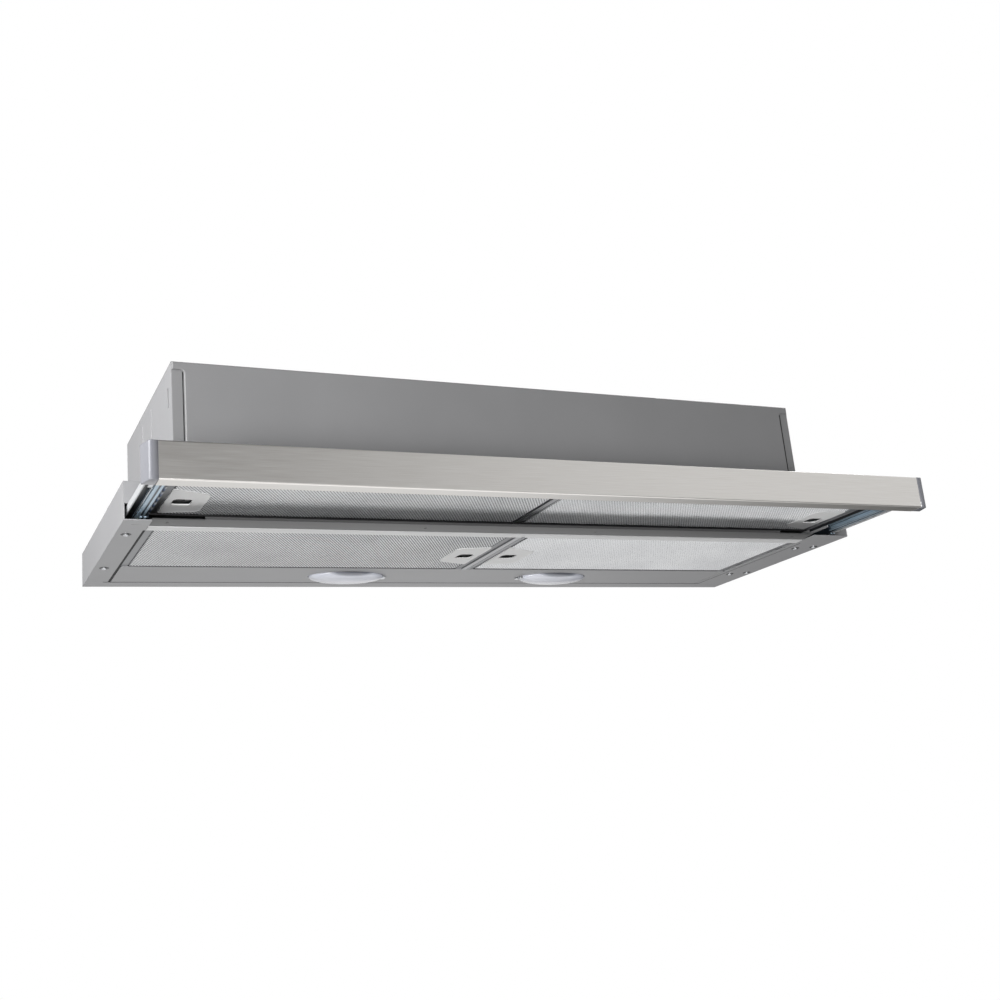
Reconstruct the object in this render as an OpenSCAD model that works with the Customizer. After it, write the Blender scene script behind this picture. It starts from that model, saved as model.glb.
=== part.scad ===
// Built-in range hood with a pull-out visor, shown pulled out.
// Origin: centre of the lower frame's rear face, which stands against the wall.
// X to the viewer's right, Y towards the wall, Z up.

/* [Lower frame] */
// Width of the lower frame
frame_w = 898; // [780:1:1100]
// Depth of the lower frame
frame_d = 300; // [292:1:360]
// Height of the lower frame
frame_h = 40; // [39:0.5:50]
// Sheet thickness of the lower frame
frame_sheet = 1.2; // [0.9:0.1:1.5]
// Width of the left underside flange
flange_left = 27.5; // [27:0.5:34]
// Width of the right underside flange
flange_right = 53; // [30:0.5:70]
// Depth of the rear underside flange
flange_rear = 24; // [15:0.5:26]
// Height of the front slots that the visor arms pass
end_slot_h = 17.2; // [17:0.1:17.6]
// Width of front wall left standing at each end
end_wall_w = 17; // [15:0.5:20]
// Height of front wall left above the visor
front_rim_h = 3; // [2:0.5:4]

/* [Upper housing] */
// Width of the upper housing
housing_w = 792.4; // [700:1:860]
// Front face of the housing behind the frame's front
housing_front_set = 17.5; // [12:0.5:30]
// Rear face of the housing in front of the frame's rear
housing_rear_set = 7.4; // [4:0.5:14]
// Height of the housing's top above the frame's underside
housing_top_h = 177; // [170:1:260]
// Sheet thickness of the housing
housing_sheet = 1; // [0.8:0.1:1.3]
// Width of the folded edges of the side panels
side_fold_w = 12; // [8:0.5:16]

/* [Visor] */
// How far the visor stands out from closed, as photographed
pulled_out = 124; // [60:1:125]
// How much further it comes before its stop
reach_more = 46; // [10:1:46]
// Depth of the front rail behind its front face
rail_d = 17.8; // [14:0.1:24]
// Height of the front rail
rail_h = 37.1; // [34:0.1:40]
// How far the front rail hangs below the frame
rail_drop = 1.6; // [0:0.1:3]
// Thickness of the stainless strip
strip_t = 1.2; // [0.8:0.1:1.5]
// Width of each end cap
cap_w = 8; // [6:0.5:12]
// Depth of the visor's filter tray
tray_d = 206; // [200:1:210]
// Height of the tray's underside
tray_z = 17.8; // [17.6:0.1:19]
// Height of the tray's walls
tray_h = 16; // [14:0.5:17]
// Sheet thickness of the tray and arms
tray_sheet = 1.2; // [0.8:0.1:1.4]

/* [Filters] */
// Height of a filter cassette
filter_h = 9; // [8:0.5:10]
// Sheet thickness of a filter's frame
filter_sheet = 1; // [0.8:0.1:1.2]
// Width of the frame's folded lip
filter_lip = 9; // [7:0.5:12]
// Depth of the fixed filters
fixed_filter_d = 160; // [140:1:165]
// Depth of the visor's filters
visor_filter_d = 133; // [110:1:140]
// Length of a latch plate
latch_l = 84; // [70:1:88]
// Width of a latch plate
latch_w = 37; // [34:1:44]
// Travel of a latch slider
latch_travel = 4.6; // [3:0.1:4.8]

/* [Lamps] */
// Distance of each lamp from the centre
lamp_x = 144; // [80:1:300]
// Length of a lamp's lens
lens_l = 93; // [70:1:110]
// Width of a lamp's lens
lens_w = 47; // [36:0.5:48]
// How far a lens bulges below the frame
lens_bulge = 7.5; // [4:0.5:12]

/* [Blower] */
// Radius of the fan wheel
wheel_r = 46; // [40:0.5:47]
// Width of the fan wheel
wheel_w = 86; // [60:1:110]
// Number of fan blades
blade_count = 32; // [20:1:40]
// Outside diameter of the duct collar
duct_d = 120; // [100:1:125]
// Height of the duct collar
duct_h = 29; // [26:1:80]

/* [Hidden] */
$fn = 48;

// Shared clearances and the overrun of every cut
over = 1;
seat_gap = 0.3;
side_gap = 0.7;
run_gap = 0.5;

// Frame, seen from its rear face and underside
half_w = frame_w / 2;
base_z = -frame_h / 2;
front_y = -frame_d;
deck_z = frame_h - frame_sheet;
deck_cut_inset = 26;
deck_cut_front = 34;
deck_cut_rear = 30;
upstand_h = 10;

// Side lanes from the frame's side wall inwards: arm, slide, bracket, tray
arm_inset = 4;
arm_w = 10.8;
arm_z = 8.8;
arm_h = 7.8;
arm_back = 272;
arm_x1 = half_w - arm_inset;
arm_x0 = arm_x1 - arm_w;
slide_sheet = 1.2;
slide_z = 12.6;
slide_flange_t = 1.6;
inner_reach = 7.7;
inner_half_h = 4.2;
outer_reach = 8.5;
outer_half_h = 8.5;
outer_web_t = 1;
outer_len = 280;
outer_front_set = 4;
ball_r = 1.6;
ball_gap = 0.08;
ball_inset = 2.5;
ball_count = 6;
cage_t = 0.8;
cage_w = 6.5;
cage_web_t = 0.6;
inner_x0 = arm_x0 - inner_reach;
outer_x1 = arm_x0 - slide_sheet - run_gap;
outer_x0 = outer_x1 - outer_reach;
ball_x = inner_x0 + ball_inset;
ball_v = (inner_half_h + outer_half_h - slide_flange_t) / 2;
outer_front_y = front_y + outer_front_set;
bracket_sheet = 1.2;
bracket_foot_w = 14;
bracket_z = 12.6;
bracket_x0 = outer_x0 - bracket_sheet;
tray_lane = 3.3;
tray_half = bracket_x0 - tray_lane;
lap = 8;

// Visor, as pulled out
rail_rear_y = front_y - run_gap - pulled_out;
rail_front_y = rail_rear_y - rail_d;
rail_wall = 1.5;
cage_y = (outer_front_y + rail_rear_y + arm_back) / 2;
stop_t = 1.2;
cage_len = 2 * (cage_y - outer_front_y - stop_t - run_gap) - reach_more;
ball_pitch = cage_len / ball_count;
strip_return = 7;
strip_bend_r = 1.6;
strip_half = half_w - cap_w;
cap_corner_r = 8;
cap_groove = 1.2;
tray_rear_y = rail_rear_y + tray_d;
visor_filter_rear_y = tray_rear_y - 0.194 * tray_d;
visor_filter_y = visor_filter_rear_y - visor_filter_d / 2;
well_h = 9;

// Fixed filters
filter_z = 1.6;
divider_w = 9.2;
divider_bar_h = 3.3;
divider_web_t = 1.4;
divider_groove = 1.1;
lamp_strip_front_y = -101;
fixed_filter_y = lamp_strip_front_y - side_gap - fixed_filter_d / 2;
crossbar_rear_y = fixed_filter_y - fixed_filter_d / 2 - side_gap;
latch_end_x = divider_w / 2 + side_gap;
fixed_len_left = half_w - flange_left - side_gap - latch_end_x;
fixed_len_right = half_w - flange_right - side_gap - latch_end_x;
tongue_l = 2.6;
tongue_w = 14;
tongue_share = 0.28;
slot_lift = 4;

// Latches, measured from the filter's latch end
latch_plate_t = 0.8;
latch_plate_x = 10;
latch_corner = 9;
finger_l = 15.5;
finger_w = 17;
finger_x = 15.6;
bolt_out = 4;
bolt_w = 12;
bolt_t = 2.4;
bolt_z = 2.2;
slider_l = 34;
slider_w = 21;
grip_t = 5;
fixed_latch_shift = 12;
visor_latch_shift = 18.5;
visor_latch_end = 3;
visor_filter_len = tray_half - visor_latch_end - latch_end_x;
visor_filter_z = tray_z + tray_sheet + seat_gap;
mesh_t = 0.5;
mesh_layers = 5;

// Lamps
lamp_y = -62;
lens_gap = 1;
lens_rim = 2.6;
lens_rim_t = 1.2;
lens_tab_l = 5;
lens_tab_w = 9;
lens_wall = 1.6;
holder_l = 108;
holder_w = 58;
holder_h = 24;
holder_wall = 1.6;
socket_r = 14;
socket_h = 9;

// Blower
collar_y = -130;
duct_open_w = 76;
case_wall = 1.8;
case_half = wheel_w / 2 + 5 * case_wall / 1.8;
case_gap = 5;
spiral_grow = 21;
spiral_start = 95;
wheel_y = collar_y - 33;
wheel_z = 104;
case_top_z = housing_top_h - housing_sheet;
inlet_r = 37;
inlet_lip = 2.6;
outlet_rim = 9;
blade_t = 1;
blade_depth = 9;
blade_curve_r = 13;
ring_t = 2;
hub_r = 10;
hub_w = 30;
shaft_r = 4;
bore_gap = 0.05;
motor_r = 33;
motor_l = 58;
motor_gap = 8;
motor_arm_w = 9;
motor_arm_t = 3;

// Duct collar and its flaps
duct_wall = 2;
collar_base = 148;
collar_base_t = 2;
collar_screw = 64;
pin_r = 2;
pin_lift = 20;
flap_t = 1.5;
flap_edge_gap = 1.4;
knuckle_r = 3.6;
knuckle_w = 18;
flap_root = 4.3;
ledge_w = 2.5;
pin_z = housing_top_h + pin_lift;

// Fasteners, gland and boxes
screw_head_r = 3.4;
screw_head_h = 1.6;
screw_r = 1.5;
screw_gap = 0.15;
screw_l = 6;
fixing_inset = 11;
fixing_x = half_w - fixing_inset;
fixing_front_y = -245;
fixing_rear_y = -96;
fixing_r = 2.6;
rail_screw_inset = 33.5;
rail_screw_x = half_w - rail_screw_inset;
rail_screw_shift = 9;
guide_w = 7;
guide_l = 30;
gland_inset = 146.2;
gland_x = housing_w / 2 - gland_inset;
gland_y = -62;
gland_r = 4.2;
gland_body_r = 8;
gland_nut_r = 11;
gland_nut_h = 5;
gland_h = 16;
box_l = 96;
box_w = 62;
box_h = 36;
driver_x = -gland_x;
driver_l = 130;
driver_w = 44;
driver_h = 27;
control_inset = 149;
control_x = control_inset - half_w;
control_l = 96;
control_h = 22;
control_d = 11;
knob_l = 12;
knob_w = 4;
knob_h = 3.2;
knob_neck = 2;
light_shift = 26;
speed_shift = 8;
light_x = control_x - light_shift;
speed_x = control_x + speed_shift;
light_travel = 8;
speed_travel = 18;
wire_r = 1.2;
wire_gap = 0.3;
wire_len = 190;

module block(x0, x1, y0, y1, z0, z1) {
    translate([x0, y0, z0]) cube([x1 - x0, y1 - y0, z1 - z0]);
}

// Everything below is drawn from the frame's underside and set on its base
module on_base() {
    translate([0, 0, base_z]) children();
}

// An outline in X and Z, drawn out along Y
module along_y(y0, len) {
    translate([0, y0 + len, 0]) rotate([90, 0, 0]) linear_extrude(len) children();
}

// An outline in Y and Z, drawn out along X
module along_x(x0, len) {
    translate([x0, 0, 0]) rotate([90, 0, 90]) linear_extrude(len) children();
}

module handed(side) {
    mirror([side < 0 ? 1 : 0, 0, 0]) children();
}

function ellipse(a, b, n = 48) = [for (i = [0:n - 1]) [a * cos(360 * i / n), b * sin(360 * i / n)]];

module screw_up(x, y, z) {
    translate([x, y, z - screw_head_h]) cylinder(r = screw_head_r, h = screw_head_h);
    translate([x, y, z - screw_head_h]) cylinder(r = screw_r, h = screw_head_h + screw_l);
}

module screw_hole(x, y, z) {
    translate([x, y, z - over]) cylinder(r = screw_r + screw_gap, h = screw_l + over);
}

// Lower frame

module tongue_slots(x) {
    for (s = [-1, 1])
        translate([x, fixed_filter_y + s * tongue_share * fixed_filter_d, 0])
            block(-over - frame_sheet, over + frame_sheet, -tongue_w / 2 - side_gap, tongue_w / 2 + side_gap,
                frame_sheet, filter_z + filter_sheet + slot_lift);
}

module upstand(x0) {
    block(x0, x0 + frame_sheet, crossbar_rear_y, lamp_strip_front_y, 0, upstand_h);
}

module lower_frame() {
    lance_l = 10;
    lance_w = 1;
    lance_set = 15;
    on_base() color("#B9BABD") difference() {
        union() {
            difference() {
                block(-half_w, half_w, front_y, 0, 0, frame_h);
                block(-half_w + frame_sheet, half_w - frame_sheet, front_y + frame_sheet, -frame_sheet,
                    frame_sheet, deck_z);
                block(-half_w + flange_left, half_w - flange_right, front_y - over, -flange_rear,
                    -over, frame_sheet + over);
                block(-half_w + frame_sheet, half_w - frame_sheet, front_y - over,
                    front_y + frame_sheet + over, frame_sheet, end_slot_h);
                block(-half_w + end_wall_w, half_w - end_wall_w, front_y - over,
                    front_y + frame_sheet + over, frame_sheet, deck_z - front_rim_h);
                block(-housing_w / 2 + deck_cut_inset, housing_w / 2 - deck_cut_inset,
                    front_y + deck_cut_front, -deck_cut_rear, deck_z - over, frame_h + over);
            }
            upstand(-half_w + flange_left - frame_sheet);
            upstand(half_w - flange_right);
        }
        tongue_slots(-half_w + flange_left);
        tongue_slots(half_w - flange_right);
        for (x = [-fixing_x, fixing_x], y = [fixing_front_y, fixing_rear_y]) {
            screw_hole(x, y, 0);
            translate([x, y, deck_z - over]) cylinder(r = fixing_r, h = frame_sheet + 2 * over);
        }
        for (y = [fixing_front_y, fixing_rear_y]) screw_hole(rail_screw_x, y + rail_screw_shift, 0);
        for (s = [-1, 1])
            block(s * (half_w - lance_set) - lance_l / 2, s * (half_w - lance_set) + lance_l / 2,
                front_y + lance_set, front_y + lance_set + lance_w, -over, frame_sheet + over);
    }
}

module crossbar_outline() {
    y0 = front_y + seat_gap;
    band_d = 23.5;
    band_rise = 2.6;
    hem_h = 3;
    lip_step = 0.9;
    t = frame_sheet;
    y1 = y0 + band_d;
    y2 = crossbar_rear_y;
    polygon([[y0, band_rise + hem_h], [y0, band_rise], [y1, lip_step], [y1, 0], [y2, 0], [y2, upstand_h],
        [y2 - t, upstand_h], [y2 - t, t], [y1 + t, t], [y1 + t, lip_step + t], [y0 + t, band_rise + t],
        [y0 + t, band_rise + hem_h]]);
}

module front_crossbar() {
    hole_share = [0.02, 0.36, 0.62, 0.97];
    hole_r = 1.6;
    hole_set = 12;
    notch_l = 52;
    notch_d = 2.6;
    x0 = -half_w + flange_left + seat_gap;
    len = frame_w - flange_left - flange_right - 2 * seat_gap;
    y1 = crossbar_rear_y - 2 * frame_sheet;
    on_base() color("#7C7D80") difference() {
        union() {
            along_x(x0, len) crossbar_outline();
            for (x = [x0, x0 + len]) block(x - lap, x + lap, y1 - lap, y1, frame_sheet, 2 * frame_sheet);
        }
        for (s = hole_share)
            translate([x0 + s * len, front_y + hole_set, -over]) cylinder(r = hole_r, h = upstand_h);
        for (x = [[x0 - over, x0 + notch_l], [x0 + len - notch_l, x0 + len + over]])
            block(x[0], x[1], front_y - over, front_y + seat_gap + notch_d, -over, upstand_h);
    }
}

// Flat bar with a groove near its right edge and a web that stands on it
module divider_outline(z, bar_h) {
    groove_share = 0.2;
    difference() {
        translate([-divider_w / 2, z]) square([divider_w, bar_h]);
        translate([groove_share * divider_w, z - over]) square([divider_groove, divider_groove + over]);
    }
    translate([-divider_web_t / 2, z]) square([divider_web_t, upstand_h]);
}

module filter_divider() {
    y0 = crossbar_rear_y;
    len = lamp_strip_front_y - crossbar_rear_y;
    on_base() color("#BFC1C4") {
        along_y(y0, len) divider_outline(0, divider_bar_h);
        // the front end hooks over the crossbar's rear edge
        block(-divider_w / 2, divider_w / 2, y0 - 3 * frame_sheet, y0, upstand_h, upstand_h + frame_sheet);
        block(-divider_w / 2, divider_w / 2, y0, y0 + frame_sheet, 0, upstand_h + frame_sheet);
        // and a small tab comes under that edge
        block(divider_w / 4, divider_w / 2, y0 - 3 * frame_sheet, y0 + frame_sheet, -seat_gap - frame_sheet,
            -seat_gap);
        block(divider_w / 4, divider_w / 2, y0, y0 + frame_sheet, -seat_gap - frame_sheet, frame_sheet);
    }
}

module lamp_strip() {
    x0 = -half_w + flange_left + side_gap;
    x1 = half_w - flange_right - side_gap;
    y1 = -flange_rear - side_gap;
    on_base() color("#A9ABAE") difference() {
        union() {
            block(x0, x1, lamp_strip_front_y, y1, 0, frame_sheet);
            block(x0, x1, lamp_strip_front_y, lamp_strip_front_y + frame_sheet, 0, upstand_h);
            block(x0, x1, y1 - frame_sheet, y1, 0, upstand_h);
            for (x = [x0, x1], y = [lamp_strip_front_y + lap, y1 - 2 * lap])
                block(x - lap, x + lap, y, y + lap, frame_sheet, 2 * frame_sheet);
        }
        for (s = [-1, 1])
            translate([s * lamp_x, lamp_y, -over]) linear_extrude(frame_sheet + 2 * over)
                polygon(ellipse(lens_l / 2 + lens_gap, lens_w / 2 + lens_gap));
    }
}

// Upper housing

module gland_hole() {
    translate([gland_x, gland_y, housing_top_h - housing_sheet - over])
        cylinder(r = gland_body_r, h = housing_sheet + 2 * over);
}

module housing_wrap() {
    y0 = front_y + housing_front_set;
    y1 = -housing_rear_set;
    hx = housing_w / 2 - side_fold_w;
    tab_h = side_fold_w;
    slot_r = 3;
    slot_l = 18;
    slot_inset = 96.2;
    slot_x = housing_w / 2 - slot_inset;
    slot_y = 46;
    on_base() color("#8B8C8F") difference() {
        union() {
            block(-hx, hx, y0 - housing_sheet, y0, frame_h, housing_top_h);
            block(-housing_w / 2, housing_w / 2, y0 - housing_sheet, y0, housing_top_h - tab_h, housing_top_h);
            block(-housing_w / 2, housing_w / 2, y0 - housing_sheet, y1, housing_top_h - housing_sheet, housing_top_h);
            block(-housing_w / 2, housing_w / 2, y1 - housing_sheet, y1, frame_h, housing_top_h);
            block(-hx, hx, y0 - housing_sheet, y0 + side_fold_w, frame_h, frame_h + housing_sheet);
            block(-hx, hx, y1 - side_fold_w, y1, frame_h, frame_h + housing_sheet);
        }
        translate([0, collar_y, housing_top_h - housing_sheet - over])
            cylinder(r = duct_d / 2 - duct_wall, h = housing_sheet + 2 * over);
        gland_hole();
        for (sx = [-1, 1], y = [y0 + slot_y, y1 - slot_y]) {
            for (e = [-1, 1])
                translate([sx * slot_x + e * (slot_l / 2 - slot_r), y, housing_top_h - housing_sheet - over])
                    cylinder(r = slot_r, h = housing_sheet + 2 * over);
            block(sx * slot_x - slot_l / 2 + slot_r, sx * slot_x + slot_l / 2 - slot_r, y - slot_r, y + slot_r,
                housing_top_h - housing_sheet - over, housing_top_h + over);
        }
        for (s = [-1, 1], t = [-1, 1])
            translate([s * collar_screw, collar_y + t * collar_screw, housing_top_h - housing_sheet - over])
                cylinder(r = screw_r + screw_gap, h = housing_sheet + 2 * over);
    }
}

module housing_side(side) {
    y0 = front_y + housing_front_set;
    y1 = -housing_rear_set - housing_sheet;
    x1 = housing_w / 2;
    top = housing_top_h - housing_sheet;
    fold_top = housing_top_h - side_fold_w;
    slot_y = 16;
    slot_w = 5;
    slot_z = 22;
    slot_h = 22;
    bead_share = [0.42, 0.62];
    bead_w = 3;
    bead_out = 0.6;
    on_base() handed(side) color("#C9CACC") difference() {
        union() {
            block(x1 - housing_sheet, x1, y0, y1, frame_h, top);
            block(x1 - side_fold_w, x1, y0, y0 + housing_sheet, frame_h, fold_top);
            block(x1 - side_fold_w, x1, y1 - housing_sheet, y1, frame_h, top);
            block(x1 - side_fold_w, x1, y0, y1, frame_h, frame_h + housing_sheet);
            block(x1 - side_fold_w, x1, y0 + side_fold_w, y1, top - housing_sheet, top);
            for (s = bead_share)
                translate([x1, y0 + s * (y1 - y0), frame_h]) block(-housing_sheet, bead_out, -bead_w / 2,
                    bead_w / 2, 0, fold_top - frame_h);
        }
        block(x1 - housing_sheet - over, x1 + over, y0 + slot_y, y0 + slot_y + slot_w,
            top - slot_z - slot_h, top - slot_z);
    }
}

// Telescopic slides, one each side, shown on the right

module raceway(v) {
    translate([ball_x, v]) circle(r = ball_r + ball_gap);
}

module slide_outer_outline() {
    difference() {
        union() {
            translate([outer_x0, -outer_half_h]) square([outer_web_t, 2 * outer_half_h]);
            for (v = [-outer_half_h, outer_half_h - slide_flange_t])
                translate([outer_x0, v]) square([outer_reach, slide_flange_t]);
        }
        raceway(ball_v);
        raceway(-ball_v);
    }
}

module slide_inner_outline() {
    difference() {
        union() {
            translate([arm_x0 - slide_sheet, -inner_half_h]) square([slide_sheet, 2 * inner_half_h]);
            for (v = [-inner_half_h, inner_half_h - slide_flange_t])
                translate([inner_x0, v]) square([inner_reach, slide_flange_t]);
        }
        raceway(ball_v);
        raceway(-ball_v);
    }
}

module slide_outer(side) {
    on_base() handed(side) color("#9FB0BC") translate([0, 0, slide_z]) {
        along_y(outer_front_y, outer_len) slide_outer_outline();
        // tab that stops the ball cage, and with it the visor
        block(outer_x0, inner_x0 - seat_gap, outer_front_y, outer_front_y + stop_t, -cage_w / 2, cage_w / 2);
    }
}

module slide_inner(side) {
    on_base() handed(side) color("#B4C6D0") translate([0, 0, slide_z])
        along_y(rail_rear_y, arm_back) slide_inner_outline();
}

module slide_bracket(side) {
    on_base() handed(side) color("#A7A9AC") along_y(outer_front_y, outer_len) {
        translate([bracket_x0, bracket_z]) square([bracket_sheet, deck_z - bracket_z]);
        translate([bracket_x0, deck_z - bracket_sheet]) square([bracket_foot_w, bracket_sheet]);
    }
}

module ball_cage(side) {
    x0 = outer_x0 + outer_web_t + seat_gap;
    y0 = cage_y;
    on_base() handed(side) translate([0, 0, slide_z]) {
        color("#C9B68A") difference() {
            along_y(y0 - cage_len / 2, cage_len) {
                translate([x0, -ball_v - cage_t / 2]) square([cage_web_t, 2 * ball_v + cage_t]);
                for (s = [-1, 1]) translate([x0, s * ball_v - cage_t / 2]) square([cage_w, cage_t]);
            }
            for (i = [0:ball_count - 1])
                translate([ball_x, y0 + (i - (ball_count - 1) / 2) * ball_pitch, -outer_half_h])
                    cylinder(r = ball_r + ball_gap, h = 2 * outer_half_h);
        }
        color("#E4E7EA") for (i = [0:ball_count - 1], s = [-1, 1])
            translate([ball_x, y0 + (i - (ball_count - 1) / 2) * ball_pitch, s * ball_v]) sphere(r = ball_r);
    }
}

module arm_guides() {
    on_base() color("#E8E6E0") for (s = [-1, 1], y = [fixing_front_y, fixing_rear_y])
        difference() {
            block(s * fixing_x - guide_w / 2, s * fixing_x + guide_w / 2, y - guide_l / 2, y + guide_l / 2,
                frame_sheet, arm_z - run_gap);
            screw_hole(s * fixing_x, y, 0);
        }
}

// Lamps

module lens_slice(a, b, z) {
    translate([0, 0, z]) linear_extrude(lens_wall / 100) polygon(ellipse(a, b, 28));
}

module lens_dome(inset) {
    tilt_share = [0, 0.35, 0.62, 0.82, 0.95, 1];
    hull() for (s = tilt_share)
        lens_slice((lens_l / 2 - inset) * sqrt(1 - 0.97 * s * s), (lens_w / 2 - inset) * sqrt(1 - 0.97 * s * s),
            -s * (lens_bulge - inset));
}

module lamp_lens(side) {
    on_base() handed(side) translate([lamp_x, lamp_y, 0]) color("#E9EBEE") difference() {
        union() {
            lens_dome(0);
            linear_extrude(frame_sheet) polygon(ellipse(lens_l / 2, lens_w / 2, 28));
            translate([0, 0, frame_sheet]) linear_extrude(lens_rim_t)
                polygon(ellipse(lens_l / 2 + lens_rim, lens_w / 2 + lens_rim, 28));
            // finger tab at the lens's inner end, just under the strip
            block(-lens_l / 2 - lens_tab_l, -lens_l / 2 + lens_tab_l / 2, -lens_tab_w / 2, lens_tab_w / 2,
                -seat_gap - lens_rim_t, -seat_gap);
        }
        lens_dome(lens_wall);
        translate([0, 0, -lens_wall / 2]) linear_extrude(frame_sheet + lens_rim_t + 2 * over)
            polygon(ellipse(lens_l / 2 - lens_wall, lens_w / 2 - lens_wall, 28));
    }
}

module lamp_holder(side) {
    z0 = frame_sheet;
    on_base() handed(side) translate([lamp_x, lamp_y, 0]) color("#D8DADC") {
        difference() {
            block(-holder_l / 2, holder_l / 2, -holder_w / 2, holder_w / 2, z0, z0 + holder_h);
            block(-holder_l / 2 + holder_wall, holder_l / 2 - holder_wall, -holder_w / 2 + holder_wall,
                holder_w / 2 - holder_wall, z0 - over, z0 + holder_h - holder_wall);
        }
        translate([0, 0, z0 + holder_h - holder_wall - socket_h]) cylinder(r = socket_r, h = socket_h);
    }
}

// Blower

function spiral_r(a) = wheel_r + case_gap + spiral_grow * (a - spiral_start) / (360 - spiral_start);

function spiral(out, top) = concat(
    [for (a = [spiral_start:13.25:360])
        [wheel_y + (spiral_r(a) + out) * cos(a), wheel_z + (spiral_r(a) + out) * sin(a)]],
    [[wheel_y + spiral_r(360) + out, top], [wheel_y + spiral_r(360) - duct_open_w - out, top]]);

module scroll(side) {
    x_side = case_half - case_wall;
    top = case_top_z;
    on_base() handed(side) color("#3C3E42") {
        difference() {
            along_x(0, case_half) polygon(spiral(case_wall, top));
            along_x(-over, x_side + over) polygon(spiral(0, top + over));
            translate([x_side - over, wheel_y, wheel_z]) rotate([0, 90, 0])
                cylinder(r = inlet_r, h = case_wall + 2 * over);
        }
        // turned-in lip of the inlet
        translate([x_side - inlet_lip, wheel_y, wheel_z]) rotate([0, 90, 0]) difference() {
            cylinder(r = inlet_r, h = inlet_lip + case_wall);
            translate([0, 0, -over]) cylinder(r = inlet_r - case_wall, h = inlet_lip + case_wall + 2 * over);
        }
        // rim that is screwed up to the housing
        difference() {
            block(0, case_half + outlet_rim, wheel_y + spiral_r(360) - duct_open_w - outlet_rim,
                wheel_y + spiral_r(360) + outlet_rim, top - case_wall, top);
            block(-over, x_side, wheel_y + spiral_r(360) - duct_open_w, wheel_y + spiral_r(360),
                top - 2 * case_wall, top + over);
        }
    }
}

module blade() {
    intersection() {
        difference() {
            circle(r = blade_curve_r);
            circle(r = blade_curve_r - blade_t);
        }
        translate([-blade_curve_r, 0]) square([blade_curve_r, blade_curve_r]);
    }
}

module fan_wheel() {
    inner_r = wheel_r - blade_depth;
    on_base() translate([-wheel_w / 2, wheel_y, wheel_z]) color("#2F3134") difference() {
        union() {
            rotate([90, 0, 90]) linear_extrude(wheel_w) intersection() {
                difference() {
                    circle(r = wheel_r - blade_t / 2);
                    circle(r = inner_r);
                }
                for (i = [0:blade_count - 1]) rotate(360 * i / blade_count)
                    translate([wheel_r, -blade_curve_r / 2]) blade();
            }
            rotate([0, 90, 0]) for (x = [0, wheel_w - ring_t]) translate([0, 0, x]) difference() {
                cylinder(r = wheel_r, h = ring_t);
                translate([0, 0, -over]) cylinder(r = wheel_r - ring_t, h = ring_t + 2 * over);
            }
            rotate([0, 90, 0]) translate([0, 0, (wheel_w - ring_t) / 2]) cylinder(r = wheel_r - blade_t, h = ring_t);
            rotate([0, 90, 0]) translate([0, 0, (wheel_w - hub_w) / 2]) cylinder(r = hub_r, h = hub_w);
        }
        rotate([0, 90, 0]) translate([0, 0, -over]) cylinder(r = shaft_r, h = wheel_w + 2 * over);
    }
}

module motor_shaft() {
    x0 = -case_half - motor_gap - motor_l - 2 * motor_gap / 3;
    on_base() translate([x0, wheel_y, wheel_z]) color("#C8CCD0") rotate([0, 90, 0])
        cylinder(r = shaft_r, h = hub_w / 2 - x0);
}

module motor() {
    x1 = -case_half - motor_gap;
    ring = inlet_r + motor_arm_w;
    on_base() translate([0, wheel_y, wheel_z]) color("#5B5E63") difference() {
        union() {
            rotate([0, 90, 0]) translate([0, 0, x1 - motor_l]) cylinder(r = motor_r, h = motor_l);
            rotate([0, 90, 0]) translate([0, 0, x1 - motor_l - motor_gap / 2]) cylinder(r = hub_r, h = motor_gap);
            for (a = [30:120:270]) rotate([a, 0, 0]) {
                block(x1 - motor_arm_t, x1, -motor_arm_w / 2, motor_arm_w / 2, motor_r - motor_arm_w, ring);
                block(x1 - motor_arm_t, -case_half, -motor_arm_w / 2, motor_arm_w / 2, ring - motor_arm_t, ring);
            }
        }
        rotate([0, 90, 0]) translate([0, 0, x1 - motor_l - motor_gap])
            cylinder(r = shaft_r + bore_gap, h = motor_l + 2 * motor_gap);
    }
}

// Duct collar

module outlet_collar() {
    r = duct_d / 2;
    on_base() translate([0, collar_y, housing_top_h]) color("#2B2D30") {
        difference() {
            union() {
                block(-collar_base / 2, collar_base / 2, -collar_base / 2, collar_base / 2, 0, collar_base_t);
                cylinder(r = r, h = duct_h);
            }
            translate([0, 0, -over]) cylinder(r = r - duct_wall, h = duct_h + 2 * over);
            for (s = [-1, 1], t = [-1, 1])
                translate([s * collar_screw, t * collar_screw, -over])
                    cylinder(r = screw_r + screw_gap, h = collar_base_t + 2 * over);
        }
        // ledge that the closed flaps rest on
        translate([0, 0, pin_lift - flap_t / 2 - seat_gap - duct_wall]) difference() {
            cylinder(r = r - duct_wall / 2, h = duct_wall);
            translate([0, 0, -over]) cylinder(r = r - duct_wall - ledge_w, h = duct_wall + 2 * over);
        }
        translate([-r + duct_wall / 2, 0, pin_lift]) rotate([0, 90, 0]) cylinder(r = pin_r, h = 2 * r - duct_wall);
    }
}

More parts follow.
